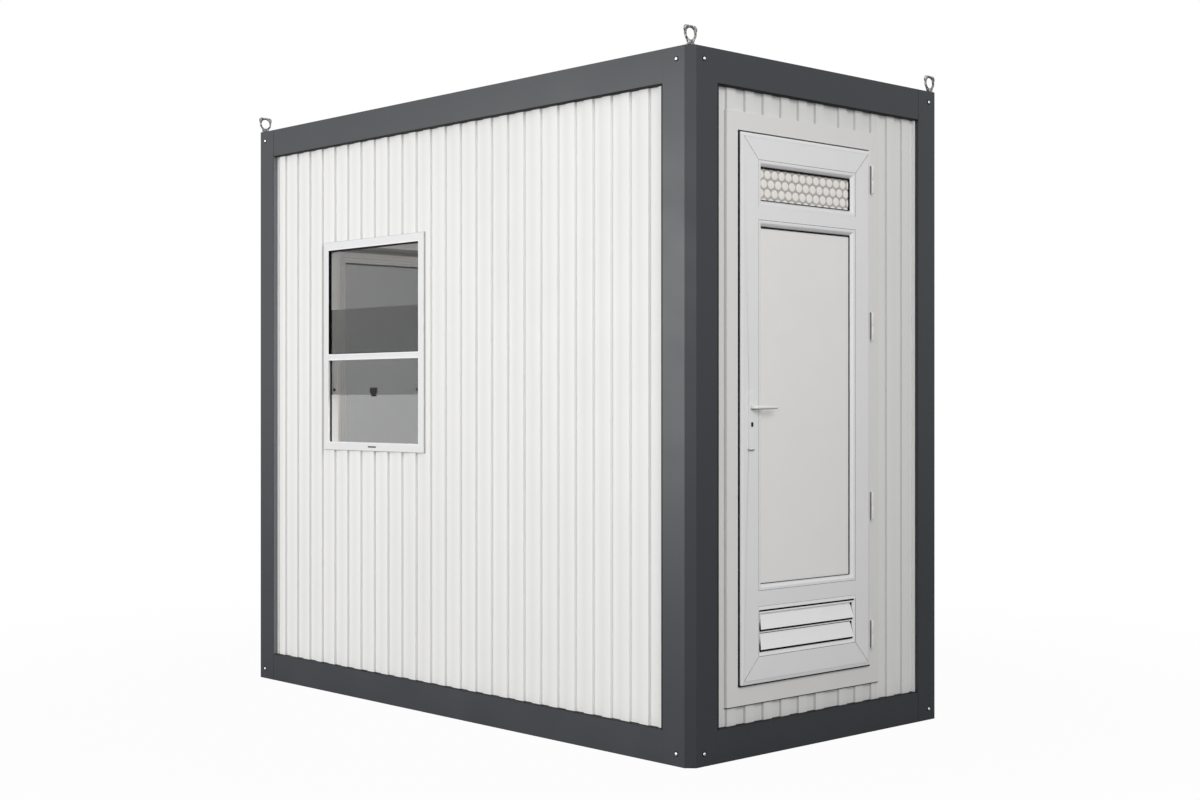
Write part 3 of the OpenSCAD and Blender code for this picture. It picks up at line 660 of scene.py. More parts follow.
def add_hanging_seal(mesh, side, z, height, fronts, u0, u1):
    """Seal under an edge, with a front depth above and below and a belly at the cladding."""
    add_prism(mesh, side, [
        (fronts[0], z), (fronts[1], z - height), (SKIN_INSET, z - height - SEAL_SAG), (SEAL_BACK, z - height),
        (SEAL_BACK, z),
    ], u0, u1)


seals_and_shade = bmesh.new()
for side, half in WALLS:
    # Painted shade on the bottom rail's ledge
    add_prism(seals_and_shade, side, [
        (SEAL_FRONT, WALL_BOTTOM), (SEAL_FRONT, WALL_BOTTOM + LEDGE_SHADE_H / 2),
        (SKIN_INSET, WALL_BOTTOM + LEDGE_SHADE_H), (SEAL_BACK, WALL_BOTTOM + LEDGE_SHADE_H), (SEAL_BACK, WALL_BOTTOM),
    ], -half, half)
    # Seal under the top rail, also standing in for the rail's shadow
    add_hanging_seal(seals_and_shade, side, WALL_TOP, SEAL_H, (SEAL_FRONT, SEAL_FRONT), -half, half)
    u0, u1 = from_end(SEALED_END[side], half, 0.0, END_SEAL_W)
    # Seal beside the post, also standing in for the post's shadow
    add_block(seals_and_shade, side, (u0, SEAL_FRONT, WALL_BOTTOM), (u1, SEAL_BACK, WALL_TOP - SEAL_H))
black_piece("panel_seals_and_shade", seals_and_shade)


# The walls' other ends: light grey sheets on the posts' returns at the long walls, painted light; white edge strips,
# painted lighter on the long walls as painted light; and seams of the frame in line with them

RETURN_SHEET_T, RETURN_SHEET_FRONT, RETURN_SHEET_BACK = 0.0015, 0.0015, SKIN_INSET + 0.006
EDGE_STRIP_W, EDGE_STRIP_R = 0.008, 0.001
EDGE_STRIP_FRONT, END_STRIP_FRONT = 0.0195, 0.0145
SEAM_W, SEAM_PROUD = 0.0016, 0.0002

return_sheets, strips, end_strips, seams = (bmesh.new() for _ in range(4))
for side, half in WALLS:
    end = -SEALED_END[side]
    mesh, front = end_strips, END_STRIP_FRONT
    if side in ("front", "back"):
        mesh, front = strips, EDGE_STRIP_FRONT
        u0, u1 = from_end(end, half, 0.0, RETURN_SHEET_T)
        # Light grey sheet against the post's return: painted light
        add_block(return_sheets, side, (u0, RETURN_SHEET_FRONT, WALL_BOTTOM), (u1, RETURN_SHEET_BACK, WALL_TOP - SEAL_H))
    u0, u1 = from_end(end, half, RETURN_SHEET_T, RETURN_SHEET_T + EDGE_STRIP_W)
    add_block(mesh, side, (u0, front, WALL_BOTTOM), (u1, SKIN_INSET + RIB_DEPTH, WALL_TOP - SEAL_H))
    u0, u1 = end * half - SEAM_W / 2, end * half + SEAM_W / 2
    for z0, z1 in ((SUNK, WALL_BOTTOM), (WALL_TOP, CABIN_H - SUNK)):
        add_block(seams, side, (u0, -SEAM_PROUD, z0), (u1, SUNK, z1))
new_piece("post_return_light_sheets", return_sheets, RETURN_LIGHT_STEEL, "cabin")
# Edge strips of the long walls in their lighter white: painted light
new_piece("panel_edge_strips", strips, LIT_EDGE_WHITE, "cabin", EDGE_STRIP_R)
new_piece("end_panel_edge_strips", end_strips, END_EDGE_WHITE, "cabin", EDGE_STRIP_R)
black_piece("frame_seams", seams)


# Windows: gaskets of the panes, and brush seals beside the sliding pane

WINDOW_MEMBER = 0.036
WINDOW_TRIM = 0.052
WINDOW_RAIL_H = 0.027
GASKET_W, TOP_GASKET_W = 0.003, 0.007
END_GASKET_D = 0.006
BRUSH_FRONT = 0.009

window_low, window_high = span("front_window_frame", "front")
fixed_low, fixed_high = span("front_window_fixed_pane", "front")
slide_low, slide_high = span("front_window_sliding_pane", "front")
end_frame_low, end_frame_high = span("left_window_frame", "left")
end_low, end_high = span("left_window_panes", "left")
window_face = window_low[1]
light_bottom = window_low[2] + WINDOW_TRIM
upper_light = face_rect(fixed_low, fixed_high)
lower_light = (slide_low[0], light_bottom, slide_high[0], fixed_low[2] - WINDOW_RAIL_H)
end_light = face_rect(end_low, end_high)

gaskets = bmesh.new()
upper_gasket = inset(upper_light, GASKET_W, GASKET_W, GASKET_W, TOP_GASKET_W)
for front, back in ((window_face + SUNK, fixed_low[1]), (fixed_high[1], slide_low[1] - CLEARANCE)):
    add_ring(gaskets, "front", upper_light, upper_gasket, front, back)
add_ring(gaskets, "left", end_light, evenly(end_light, GASKET_W), window_face + SUNK, end_low[1])
add_ring(gaskets, "left", end_light, evenly(end_light, 2 * GASKET_W), end_high[1], end_high[1] + END_GASKET_D)
black_piece("window_gaskets", gaskets)

brushes = bmesh.new()
for u0, u1 in ((slide_low[0], slide_low[0] + GASKET_W), (slide_high[0] - GASKET_W, slide_high[0])):
    add_block(brushes, "front", (u0, window_face + BRUSH_FRONT, lower_light[1]),
              (u1, slide_low[1] - CLEARANCE, lower_light[3]))
black_piece("window_brush_seals", brushes)


# Serving window: latch with its tongue and two knobs, on the inner face of the sliding pane

LATCH_SIZE, LATCH_TONGUE = (0.050, 0.026), (0.034, 0.013)
LATCH_SHIFT, LATCH_RISE = -0.018, 0.006
LATCH_T, TONGUE_T, TONGUE_LAP = 0.007, 0.005, 0.002
KNOB_PROFILE = [(0.0072, 0.0), (0.0072, 0.0035), (0.0060, 0.0055), (0.0, 0.0060)]
KNOB_REACH, KNOB_SHIFT, KNOB_DROP = 0.311, -0.010, 0.009
CATCH_R = 0.0005

catches_low, catches_high = span("front_window_catches", "front")
catch_u = (catches_low[0] + catches_high[0]) / 2
catch_face = slide_high[1]
latch_u = catch_u + LATCH_SHIFT
latch_top = catches_high[2] + LATCH_RISE
latch_bottom = latch_top - LATCH_SIZE[1]

caps = bmesh.new()
add_block(caps, "front", (latch_u - LATCH_SIZE[0] / 2, catch_face, latch_bottom),
          (latch_u + LATCH_SIZE[0] / 2, catch_face + LATCH_T, latch_top))
add_block(caps, "front", (latch_u - LATCH_TONGUE[0] / 2, catch_face, latch_bottom - LATCH_TONGUE[1]),
          (latch_u + LATCH_TONGUE[0] / 2, catch_face + TONGUE_T, latch_bottom + TONGUE_LAP))
for u in (catch_u - KNOB_REACH, catch_u + KNOB_REACH):
    add_lathe(caps, at("front", u + KNOB_SHIFT, catch_face, latch_top - KNOB_DROP), (0, 1, 0), KNOB_PROFILE)
caps = new_piece("window_catch_caps", caps, BLACK, "cabin", CATCH_R)
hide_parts("front_window_catches")


# Windows: white lips round the serving window's lights, grey sealant round the frames that also stands in for their
# shadow on the wall, grooves of the end window's frame, drain cover

GLAZING_LIP_W, GLAZING_LIP_D = 0.004, 0.005
GLAZING_LIP_PROUD, GLAZING_LIP_IN = 0.0006, 0.0003
SEALANT_W, SEALANT_FRONT, SEALANT_BACK = 0.0018, 0.0195, 0.030
GROOVES, GROOVE_W, GROOVE_PROUD = (0.010, 0.024), 0.0012, 0.0004
DRAIN_SIZE, DRAIN_PROUD = (0.060, 0.0055), 0.0012

lips = bmesh.new()
for rect in (upper_light, lower_light):
    add_ring(lips, "front", evenly(rect, -GLAZING_LIP_W), evenly(rect, GLAZING_LIP_IN),
             window_face - GLAZING_LIP_PROUD, window_face + GLAZING_LIP_D)
new_piece("window_glazing_lips", lips, PVC, "cabin")

sealant_and_shadow = bmesh.new()
for side, low, high in (("front", window_low, window_high), ("left", end_frame_low, end_frame_high)):
    rect = evenly(face_rect(low, high), WINDOW_TRIM - WINDOW_MEMBER)
    # Grey sealant round the frame on the wall, also standing in for the frame's shadow
    add_ring(sealant_and_shadow, side, evenly(rect, -SEALANT_W), evenly(rect, LAP), SEALANT_FRONT, SEALANT_BACK)
for offset in GROOVES:
    add_ring(sealant_and_shadow, "left", evenly(end_light, -offset - GROOVE_W), evenly(end_light, -offset),
             end_frame_high[1] - SUNK, end_frame_high[1] + GROOVE_PROUD)
new_piece("window_sealant_and_shadow", sealant_and_shadow, SEALANT, "cabin")

drain = bmesh.new()
drain_place = ((fixed_low[0] + fixed_high[0]) / 2, light_bottom - WINDOW_MEMBER / 2)
add_stadium(drain, "front", drain_place, DRAIN_SIZE, window_face - DRAIN_PROUD, window_face + SUNK)
black_piece("window_drain_cover", drain)


# Room: lining boards on the walls

LINING_T = 0.003

room_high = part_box("floor_board")[1]
ceiling_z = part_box("ceiling_panel")[0].z
wall_back = HALF_W - room_high.y
lining_back, lining_front = wall_back - SUNK, wall_back + LINING_T

lining = bmesh.new()
for side, node, half in (
    ("front", "front_window_frame", room_high.x), ("left", "left_window_frame", room_high.y - LINING_T),
    ("door", "door_frame", room_high.y - LINING_T),
):
    add_ring(lining, side, (-half, room_high.z, half, ceiling_z), face_rect(*span(node, side)),
             lining_back, lining_front)
add_block(lining, "back", (-room_high.x, lining_back, room_high.z), (room_high.x, lining_front, ceiling_z))
new_piece("room_lining", lining, LINING, "cabin")


# Door: places of its leaf and of the openings, with their glazing beads

BEAD_W = 0.024

leaf_low, leaf_high = span("door_leaf", "door")
glass_low, glass_high = span("door_glass", "door")
panel_low, panel_high = span("door_panel", "door")
leaf_face = leaf_low[1]
glass_rect = face_rect(glass_low, glass_high)
panel_rect = face_rect(panel_low, panel_high)
louvre_rect = face_rect(*span("door_louvre", "door"))
glass_light, panel_light, louvre_light = (evenly(rect, BEAD_W) for rect in (glass_rect, panel_rect, louvre_rect))


# Door: patterned glass, with rows of lenses on both faces

LENS_PITCH = 0.0404
LENS_HALF_W, LENS_HALF_H, LENS_H = 0.0201, 0.0188, 0.0026
LENS_PROFILE = ((1.0, 0.0), (0.94, 0.35), (0.84, 0.62), (0.66, 0.86), (0.4, 0.97))
LENS_STEPS, LENS_SHADE_BANDS = 18, 2
LENS_ROWS, LENS_COLUMNS = range(-2, 3), range(-1, 15)


def add_lens(mesh, side, u, z, face, out):
    """One rounded lens of the cast glass, bulging from a face of the pane; its outer bands are painted darker, as
    painted shade.
    """
    loops = []
    for share, height in LENS_PROFILE:
        half_w, half_h, d = LENS_HALF_W * share, LENS_HALF_H * share, face + out * LENS_H * height
        loops.append([
            mesh.verts.new(at(side, u + half_w * math.cos(a), d, z + half_h * math.sin(a)))
            for a in round_angles(LENS_STEPS, 0.5)
        ])
    for k, made in enumerate(add_loops(mesh, loops, caps=False)):
        made.material_index = 1 if k < LENS_SHADE_BANDS * LENS_STEPS else 0
    mesh.faces.new(loops[-1])


lenses = bmesh.new()
row_pitch = LENS_PITCH * math.sqrt(3) / 2
middle = (glass_light[1] + glass_light[3]) / 2
for face, out in ((glass_low[1], -1), (glass_high[1], 1)):
    for row in LENS_ROWS:
        start = glass_light[0] + (0.0 if row % 2 else 0.5) * LENS_PITCH
        for column in LENS_COLUMNS:
            add_lens(lenses, "door", start + column * LENS_PITCH, middle + row * row_pitch, face, out)
for corner, normal in (
    (at("door", glass_light[0], 0, 0), (0, -1, 0)), (at("door", glass_light[2], 0, 0), (0, 1, 0)),
    (Vector((0, 0, glass_light[1])), (0, 0, -1)), (Vector((0, 0, glass_light[3])), (0, 0, 1)),
):
    geometry = lenses.verts[:] + lenses.edges[:] + lenses.faces[:]
    bmesh.ops.bisect_plane(lenses, geom=geometry, plane_co=corner, plane_no=normal, clear_outer=True)
new_piece("door_glass_lenses", lenses, [LENS, LENS_RIM_SHADE], "door", smooth=True)


# Door: glazing gaskets, as widths on the left, bottom, right and top outside and one width inside

GLASS_GASKET, PANEL_GASKET = (0, 0.002, 0.009, 0.0075), (0, 0.0018, 0.004, 0.006)
GLASS_GASKET_D, PANEL_GASKET_D = 0.004, 0.003
INNER_GLASS_GASKET, INNER_PANEL_GASKET, INNER_GASKET_D = 0.005, 0.004, 0.004

gaskets = bmesh.new()
for light, low, high, widths, depth, inner in (
    (glass_light, glass_low, glass_high, GLASS_GASKET, GLASS_GASKET_D, INNER_GLASS_GASKET),
    (panel_light, panel_low, panel_high, PANEL_GASKET, PANEL_GASKET_D, INNER_PANEL_GASKET),
):
    add_gasket(gaskets, "door", light, widths, low[1] - depth, low[1] + SUNK)
    add_ring(gaskets, "door", evenly(light, -SUNK), evenly(light, inner), high[1] - SUNK, high[1] + INNER_GASKET_D)
black_piece("door_glazing_gaskets", gaskets, "door")


# Door: seal at the leaf's free edge, top and bottom

LEAF_SEAL_FRONT, LEAF_SEAL_BACK = 0.010, 0.026
SIDE_SEAL_T, TOP_SEAL_T, BOTTOM_SEAL_T = 0.0019, 0.0015, 0.0045
DRIP_FRONT, DRIP_UP = 0.0055, 0.002

leaf_seal = bmesh.new()
add_block(leaf_seal, "door", (leaf_low[0] - SIDE_SEAL_T, LEAF_SEAL_FRONT, leaf_low[2]),
          (leaf_low[0], LEAF_SEAL_BACK, leaf_high[2]))
add_block(leaf_seal, "door", (leaf_low[0], LEAF_SEAL_FRONT, leaf_high[2]),
          (leaf_high[0], LEAF_SEAL_BACK, leaf_high[2] + TOP_SEAL_T))
add_block(leaf_seal, "door", (leaf_low[0] - SIDE_SEAL_T, DRIP_FRONT, leaf_low[2] - BOTTOM_SEAL_T),
          (leaf_high[0], LEAF_SEAL_BACK, leaf_low[2] + DRIP_UP))
black_piece("door_leaf_seal", leaf_seal, "door")


# Door: louvre with a flat head and lipped blades, and plain slats on the inner face, in a lighter white as painted
# light
# A blade is (drop of its lip, depth of the lip's front, drop of its top, drop of its bottom)

BEAD_LAND, BEAD_STEP, BEAD_D = 0.004, 0.001, 0.014
HEAD_H, HEAD_FRONT, HEAD_BACK = 0.014, 0.0003, 0.006
BLADES = ((0.0210, 0.0025, 0.0345, 0.0880), (0.0950, 0.0085, 0.1065, 0.1635))
BLADE_FRONT, BLADE_BACK, BLADE_T = 0.0005, 0.010, 0.003
BLADE_GAP, BLADE_LEFT_CUT, BACK_GAP = 0.0045, 0.0095, 0.001
LIP_H, LIP_GAP = 0.006, 0.001
SLATS, SLAT_RISE, SLAT_D = 5, 0.034, 0.012
SLAT_INSET, SLAT_T = 0.002, 0.0025
LOUVRE_R = 0.0006


def bead_reach(depth):
    """How far the louvre's bead stands in from the opening's edge at a depth behind the leaf's face."""
    share = (depth - BEAD_STEP) / (BEAD_D - BEAD_STEP)
    return BEAD_LAND + (BEAD_W - BEAD_LAND) * min(max(share, 0.0), 1.0)


def bar_section(front, back, top, bottom):
    """Oblong section of a louvre bar, between two depths and two drops."""
    return [(front, top), (front, bottom), (back, bottom), (back, top)]


def add_louvre_bar(mesh, section, gap, left_cut=0.0):
    """Bar across the louvre from (depth behind the leaf's face, drop from the opening's top) points.

    It stops at a gap from the beads. Its left end may be cut back further in front, and is close to the bead behind.
    """
    loops = []
    for edge, inwards, front_gap, back_gap in (
        (louvre_rect[0], 1, max(gap, left_cut), min(gap, BACK_GAP)), (louvre_rect[2], -1, gap, gap),
    ):
        loop = []
        for d, drop in section:
            reach = bead_reach(d) + (front_gap if d < BLADE_BACK / 2 else back_gap)
            loop.append(mesh.verts.new(at("door", edge + inwards * reach, leaf_face + d, louvre_rect[3] - drop)))
        loops.append(loop)
    add_loops(mesh, loops)


louvre = bmesh.new()
add_ring(louvre, "door", louvre_rect, louvre_light, panel_low[1], panel_high[1])
add_block(louvre, "door", (louvre_rect[0] + CLEARANCE, leaf_face + HEAD_FRONT, louvre_rect[3] - HEAD_H),
          (louvre_rect[2] - CLEARANCE, leaf_face + HEAD_BACK, louvre_rect[3] - CLEARANCE))
for lip_top, lip_front, top, bottom in BLADES:
    lip_bottom = lip_top + LIP_H
    add_louvre_bar(louvre, bar_section(lip_front, BLADE_BACK + SUNK, lip_top, lip_bottom), LIP_GAP)
    add_louvre_bar(louvre, [
        (BLADE_FRONT, bottom), (BLADE_FRONT + BLADE_T, bottom), (BLADE_BACK + BLADE_T, top),
        (BLADE_BACK + BLADE_T, lip_bottom - SUNK), (BLADE_BACK, lip_bottom - SUNK), (BLADE_BACK, top),
    ], BLADE_GAP, BLADE_LEFT_CUT)
slat_pitch = (louvre_light[3] - louvre_light[1]) / SLATS
slat_face = leaf_high[1] - SLAT_INSET
for k in range(SLATS):
    z = louvre_light[1] + k * slat_pitch
    add_prism(louvre, "door", [
        (slat_face, z), (slat_face - SLAT_D, z + SLAT_RISE),
        (slat_face - SLAT_T - SLAT_D, z + SLAT_RISE), (slat_face - SLAT_T, z),
    ], louvre_light[0] - SUNK, louvre_light[2] + SUNK)
louvre = new_piece("door_louvre_blades", louvre, LIT_BLADE, "door", LOUVRE_R)
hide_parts("door_louvre")


# Door: black screen behind the louvre, with painted shade in the gaps over, under and beside its blades
# A slot is (top drop, bottom drop, front depth); the corners are painted shade in the cuts at the blades' ends,
# measured from the opening

SCREEN_BARS, SCREEN_RIM = 24, 0.006
SCREEN_LAP, SCREEN_T, SCREEN_SETBACK = 0.002, 0.003, 0.004
SCREEN_BAR_SHARE, SCREEN_BAR_LIFT = 0.86, 0.0002
SLOTS = ((0.0135, 0.0215, 0.003), (0.0875, 0.0955, 0.006), (0.1630, 0.1715, 0.006))
SLOT_D, SLOT_GAP = 0.006, 0.0005
LIP_SHADES, LIP_SHADE_GAP = (0.0014, 0.0024), 0.002
LIP_SHADE_FRONT, LIP_SHADE_BACK = BLADE_BACK - 0.0006, BLADE_BACK + 0.002
LEFT_CORNER = ((0.0042, 0.0142, 0.002), (0.0042, 0.0050, -0.030))
LEFT_CORNER_FRONT, LEFT_CORNER_BACK = 0.0012, 0.006
RIGHT_CORNER = ((0.0263, 0.0148, 0.0082, 0.0125), (0.0202, 0.0167, 0.0078, 0.0112), (0.0088, 0.0075, 0.0027, 0.0041))
RIGHT_CORNER_RISE, RIGHT_CORNER_FALL = 0.005, 0.010


def add_slices(mesh, slices):
    """Solid through level (u0, u1, front, back, drop) rectangles in the louvre's opening."""
    add_loops(mesh, [
        [mesh.verts.new(at("door", u, leaf_face + d, louvre_rect[3] - drop)) for u, d in
         ((u0, front), (u1, front), (u1, back), (u0, back))]
        for u0, u1, front, back, drop in slices
    ])


screen_and_shade = bmesh.new()
screen_rect = evenly(louvre_light, -SCREEN_LAP)
screen_back = panel_high[1] - SCREEN_SETBACK
screen_front = screen_back - SCREEN_T
add_ring(screen_and_shade, "door", screen_rect, evenly(screen_rect, SCREEN_RIM), screen_front, screen_back)
screen_pitch = (screen_rect[3] - screen_rect[1] - 2 * SCREEN_RIM) / SCREEN_BARS
for k in range(SCREEN_BARS):
    z = screen_rect[1] + SCREEN_RIM + k * screen_pitch
    add_block(screen_and_shade, "door", (screen_rect[0] + SUNK, screen_front + SUNK, z + SCREEN_BAR_LIFT),
              (screen_rect[2] - SUNK, screen_back, z + screen_pitch * SCREEN_BAR_SHARE))
# Painted shade in the gaps over and under the blades
for top, bottom, front in SLOTS:
    add_louvre_bar(screen_and_shade, bar_section(front, front + SLOT_D, top, bottom), SLOT_GAP)
left, right = louvre_rect[0], louvre_rect[2]
# Painted shade under the lips and in the cuts at the blades' ends
for (lip_top, _, top, bottom), shade in zip(BLADES, LIP_SHADES):
    lip_bottom = lip_top + LIP_H
    add_louvre_bar(screen_and_shade, bar_section(LIP_SHADE_FRONT, LIP_SHADE_BACK, lip_bottom, lip_bottom + shade), LIP_SHADE_GAP)
    add_slices(screen_and_shade, [(left + near, left + far, LEFT_CORNER_FRONT, LEFT_CORNER_BACK, bottom + fall)
                        for near, far, fall in LEFT_CORNER])
    drops = (top - RIGHT_CORNER_RISE, top + RIGHT_CORNER_FALL, bottom)
    add_slices(screen_and_shade, [(right - far, right - near, front, back, drop)
                        for (far, near, front, back), drop in zip(RIGHT_CORNER, drops)])
black_piece("door_louvre_screen_and_shade", screen_and_shade, "door")


# Door: rounded noses on the outer glazing beads, as (distance in from the opening's edge, depth behind the leaf's face)

NOSE_FRONT = ((0.0012, 0.0006), (0.0095, 0.0006), (0.0115, 0.0010), (0.0132, 0.0020), (0.0146, 0.0034),
              (0.0230, 0.0130))
NOSE_BACK = ((0.0200, 0.0136), (0.0030, 0.0060))

noses = bmesh.new()
for rect in (glass_rect, panel_rect):
    add_profile_ring(noses, "door", rect, [(reach, leaf_face + d) for reach, d in NOSE_FRONT + NOSE_BACK])
new_piece("door_bead_noses", noses, PVC, "door")


# Door: dark joint lines round the beads and along the leaf's mitres

JOINT_W = 0.0012
JOINT_FRONT, JOINT_BACK = leaf_face + 0.0004, leaf_face + 0.002
MITRE_FRONT, MITRE_BACK = leaf_face + 0.0002, leaf_face + 0.001
LEAF_BEVEL_W = 0.014

joints = bmesh.new()
for rect, bottom in ((glass_rect, 0.0), (panel_rect, JOINT_W), (louvre_rect, JOINT_W)):
    add_gasket(joints, "door", rect, (JOINT_W, bottom, JOINT_W, JOINT_W), JOINT_FRONT, JOINT_BACK)
for u, u_in in ((leaf_low[0] + LEAF_BEVEL_W, glass_rect[0]), (leaf_high[0] - LEAF_BEVEL_W, glass_rect[2])):
    for z, z_in in ((leaf_low[2] + LEAF_BEVEL_W, louvre_rect[1]), (leaf_high[2] - LEAF_BEVEL_W, glass_rect[3])):
        add_strip(joints, "door", (u, z), (u_in, z_in), JOINT_W, MITRE_FRONT, MITRE_BACK)
black_piece("door_joint_lines", joints, "door")


# Door: painted shade on the edges of the hinges beside the leaf, at shares of its height

HINGE_SHARES = (0.06, 0.31, 0.66, 0.945)
HINGE_HALF = 0.054
HINGE_EDGE_W, HINGE_CHAMFER = 0.0009, 0.002
HINGE_EDGE_FRONT, HINGE_EDGE_BACK = -0.001, 0.008

edges = bmesh.new()
for share in HINGE_SHARES:
    z = leaf_low[2] + (leaf_high[2] - leaf_low[2]) * share
    z0, z1 = z - HINGE_HALF, z + HINGE_HALF
    chamfer_d = HINGE_EDGE_FRONT + HINGE_CHAMFER
    add_prism(edges, "door", [
        (HINGE_EDGE_FRONT, z0 + HINGE_CHAMFER), (chamfer_d, z0), (HINGE_EDGE_BACK, z0),
        (HINGE_EDGE_BACK, z1), (chamfer_d, z1), (HINGE_EDGE_FRONT, z1 - HINGE_CHAMFER),
    ], leaf_high[0] - LAP, leaf_high[0] + HINGE_EDGE_W)
new_piece("door_hinge_shade_strips", edges, HINGE_SHADE, "door")


# Door frame: seal under its casing and sealant along the casing's left edge

CASING_SEAL_H, CASING_SEAL_SLANT = 0.0025, 0.001
CASING_BEAD_W, CASING_BEAD_FRONT, CASING_BEAD_BACK = 0.0012, 0.0025, SKIN_INSET + 0.008

casing_low, casing_high = span("door_frame", "door")
casing_fronts = (casing_low[1] + SUNK, casing_low[1] + SUNK + CASING_SEAL_SLANT)
seal = bmesh.new()
add_hanging_seal(seal, "door", casing_low[2], CASING_SEAL_H, casing_fronts, casing_low[0], casing_high[0])
black_piece("door_frame_seal", seal)

bead_in, bead_out = casing_low[0] + LAP, casing_low[0] - CASING_BEAD_W
bead_section = (
    (bead_in, SKIN_INSET - CASING_BEAD_FRONT), (bead_in, CASING_BEAD_BACK), (bead_out, CASING_BEAD_BACK),
    (bead_out, SKIN_INSET + LAP), (casing_low[0] - CASING_BEAD_W / 3, SKIN_INSET - CASING_BEAD_FRONT / 3),
)
casing_bead = bmesh.new()
add_loops(casing_bead, [
    [casing_bead.verts.new(at("door", u, d, z)) for u, d in bead_section] for z in (casing_low[2], casing_high[2])
])
new_piece("door_frame_sealant", casing_bead, CASING_SEALANT, "cabin")


# Door: swept lever on both faces; its bar is (share of the length, half width, half height)

LEVER_R = 0.009
LEVER_REACH, LEVER_BEND = 0.026, 0.015
BEND_STEPS, BEND_THINNER, BEND_LOWER = 6, 0.0028, 0.001
LEVER_BAR = ((0.3, 0.0056, 0.0072), (0.6, 0.0052, 0.0064), (0.85, 0.0048, 0.0056),
             (0.95, 0.0042, 0.0048), (0.985, 0.0030, 0.0034), (0.999, 0.0010, 0.0012))
LEVER_BOW, LEVER_LEAN = 0.004, 0.1

lever_low, lever_high = span("door_lever", "door")
lever_u, lever_z = lever_low[0] + LEVER_R, (lever_low[2] + lever_high[2]) / 2
leaf_middle = (lever_low[1] + lever_high[1]) / 2


def lever_stations():
    """Neck, bend and tapering bar of the outer lever."""
    bar_u, bar_d = lever_u + LEVER_BEND, leaf_face - LEVER_REACH
    made = [((lever_u, d, lever_z), (0, -1), LEVER_R, LEVER_R) for d in (leaf_face - LAP, bar_d + LEVER_BEND)]
    for k in range(1, BEND_STEPS + 1):
        share = k / BEND_STEPS
        a = math.radians(90 * share)
        made.append(((bar_u - LEVER_BEND * math.cos(a), bar_d + LEVER_BEND * (1 - math.sin(a)), lever_z),
                     (math.sin(a), -math.cos(a)), LEVER_R - BEND_THINNER * share, LEVER_R - BEND_LOWER * share))
    for share, half_w, half_h in LEVER_BAR:
        made.append(((bar_u + (lever_high[0] - bar_u) * share, bar_d + LEVER_BOW * share * share, lever_z),
                     (1, LEVER_LEAN * share), half_w, half_h))
    return made


lever = bmesh.new()
outer_lever = lever_stations()
add_sweep(lever, "door", outer_lever)
add_sweep(lever, "door", [
    ((u, 2 * leaf_middle - d, z), (du, -dd), half_w, half_h) for (u, d, z), (du, dd), half_w, half_h in outer_lever
])
lever = new_piece("door_lever_swept", lever, FURNITURE, "lever", smooth=True)
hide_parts("door_lever")


# Door: lock insert in the keyhole, and painted shadow at the foot of each handle plate

KEY_DROP, LOCK_SIZE, LOCK_PROUD = 0.063, (0.0125, 0.0185), 0.0006
PLATE_SHADOW, PLATE_SHADOW_PROUD = (0.028, 0.0022), 0.0004

plate_low, plate_high = span("door_handle_plates", "door")
lock_place = (lever_u, lever_z - KEY_DROP)
plate_shadow_place = (lever_u, plate_low[2] + PLATE_SHADOW[1] / 2)
lock_and_shadow = bmesh.new()
add_stadium(lock_and_shadow, "door", lock_place, LOCK_SIZE, plate_low[1] - LOCK_PROUD, leaf_low[1])
add_stadium(lock_and_shadow, "door", lock_place, LOCK_SIZE, leaf_high[1], plate_high[1] + LOCK_PROUD)
# Painted shadow at the foot of each handle plate
add_stadium(lock_and_shadow, "door", plate_shadow_place, PLATE_SHADOW, plate_low[1] - PLATE_SHADOW_PROUD, plate_low[1] + SUNK)
add_stadium(lock_and_shadow, "door", plate_shadow_place, PLATE_SHADOW, plate_high[1] - SUNK, plate_high[1] + PLATE_SHADOW_PROUD)
black_piece("door_lock_insert_and_shadow", lock_and_shadow, "door")


# Stage, light and camera

FLOOR_SIZE, FLOOR_DROP = 60.0, 0.0005
FLOOR_ALBEDO, FLOOR_ROUGHNESS = 0.36, 0.9
AMBIENT = 0.47
WARM = (1.0, 0.975, 0.94)
GLOW_NEAR, GLOW_NEAR_R, GLOW_FAR_R = 0.97, 1.6, 5.0


def seen_ray(tree, *others):
    """1 for rays that show the background: from the camera, through glass and of other named kinds."""
    path = tree.nodes.new("ShaderNodeLightPath").outputs
    total = path["Is Camera Ray"]
    for name in ("Is Transmission Ray", *others):
        total = add_node(tree, "ShaderNodeMath", total, path[name], operation="MAXIMUM").outputs[0]
    return total


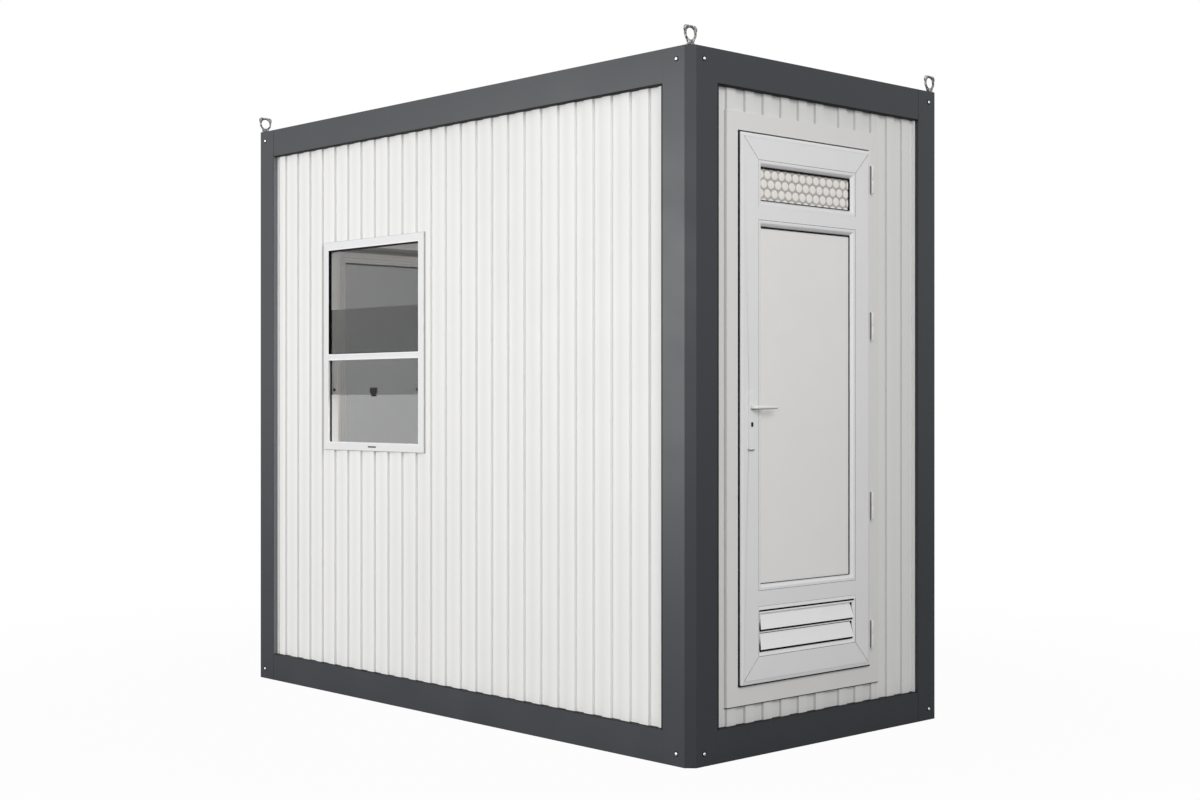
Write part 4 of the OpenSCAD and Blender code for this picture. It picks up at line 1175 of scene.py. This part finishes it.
def stage_floor():
    """Pale floor that the eye sees as white further out and that keeps the object's shadow close by."""
    bpy.ops.mesh.primitive_plane_add(size=FLOOR_SIZE, location=(0, 0, -FLOOR_DROP))
    floor = bpy.context.object
    floor.name = "stage_floor"
    made = Finish("stage_white", roughness=FLOOR_ROUGHNESS, specular=0.0)
    tree, shader = made.tree, made.shader
    shader.inputs["Base Color"].default_value = (FLOOR_ALBEDO, FLOOR_ALBEDO, FLOOR_ALBEDO, 1.0)
    glow = add_node(tree, "ShaderNodeEmission", Strength=1.0)
    radius = add_node(tree, "ShaderNodeVectorMath", made.coords, operation="LENGTH").outputs["Value"]
    level = add_node(tree, "ShaderNodeMapRange", Value=radius, From_Min=GLOW_NEAR_R, From_Max=GLOW_FAR_R,
                     To_Min=GLOW_NEAR, To_Max=1.0)
    level.interpolation_type = "SMOOTHSTEP"
    share = add_node(tree, "ShaderNodeMath", level.outputs["Result"], seen_ray(tree), operation="MULTIPLY")
    mix = add_node(tree, "ShaderNodeMixShader", share.outputs[0], shader.outputs[0], glow.outputs[0])
    tree.links.new(mix.outputs[0], tree.nodes["Material Output"].inputs["Surface"])
    floor.data.materials.append(made.material)
    floor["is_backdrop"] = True


def stage_world(ambient):
    """White surroundings to the eye, a lower level as light."""
    world = bpy.data.worlds.new("studio")
    bpy.context.scene.world = world
    world.use_nodes = True
    tree = world.node_tree
    back = tree.nodes["Background"]
    back.inputs["Color"].default_value = (1.0, 1.0, 1.0, 1.0)
    level = add_node(tree, "ShaderNodeMapRange", Value=seen_ray(tree, "Is Glossy Ray"), To_Min=ambient, To_Max=1.0)
    tree.links.new(level.outputs["Result"], back.inputs["Strength"])


def softbox(name, place, target, size, power, tint=(1.0, 1.0, 1.0)):
    """Oblong lamp at a place, aimed at a target."""
    data = bpy.data.lights.new(name, "AREA")
    data.color = tint
    data.shape = "RECTANGLE"
    data.size, data.size_y = size
    data.energy = power
    lamp = bpy.data.objects.new(name, data)
    lamp.location = place
    lamp.rotation_euler = (Vector(target) - Vector(place)).to_track_quat("-Z", "Y").to_euler()
    bpy.context.scene.collection.objects.link(lamp)


stage_floor()
stage_world(AMBIENT)
softbox("key", place=(-7.0, -11.0, 2.4), target=(0.0, -0.7, 1.3), size=(6.0, 4.6), power=940.0)
softbox("fill", place=(6.2, -2.4, 4.2), target=(1.2, -0.3, 1.8), size=(3.0, 2.5), power=126.0)
softbox("chamfer", place=(7.6, -7.1, 2.4), target=(1.4, -0.7, 1.4), size=(1.2, 3.0), power=108.0)
softbox("room", place=(0.9, 0.0, 2.3), target=(-1.4, -0.1, 1.7), size=(0.7, 0.4), power=23.0, tint=WARM)

LENS_MM, SENSOR_MM = 52.05, 36.0
CAMERA_PLACE = (5.7485, -5.226, 1.323)
CAMERA_TURN = math.radians(46.88)

camera = bpy.data.objects.new("camera", bpy.data.cameras.new("camera"))
camera.data.lens = LENS_MM
camera.data.sensor_width = SENSOR_MM
camera.location = CAMERA_PLACE
camera.rotation_euler = (math.radians(90), 0.0, CAMERA_TURN)
bpy.context.scene.collection.objects.link(camera)
bpy.context.scene.camera = camera
bpy.context.scene.view_settings.view_transform = "Standard"

bpy.context.view_layer.update()
low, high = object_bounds()
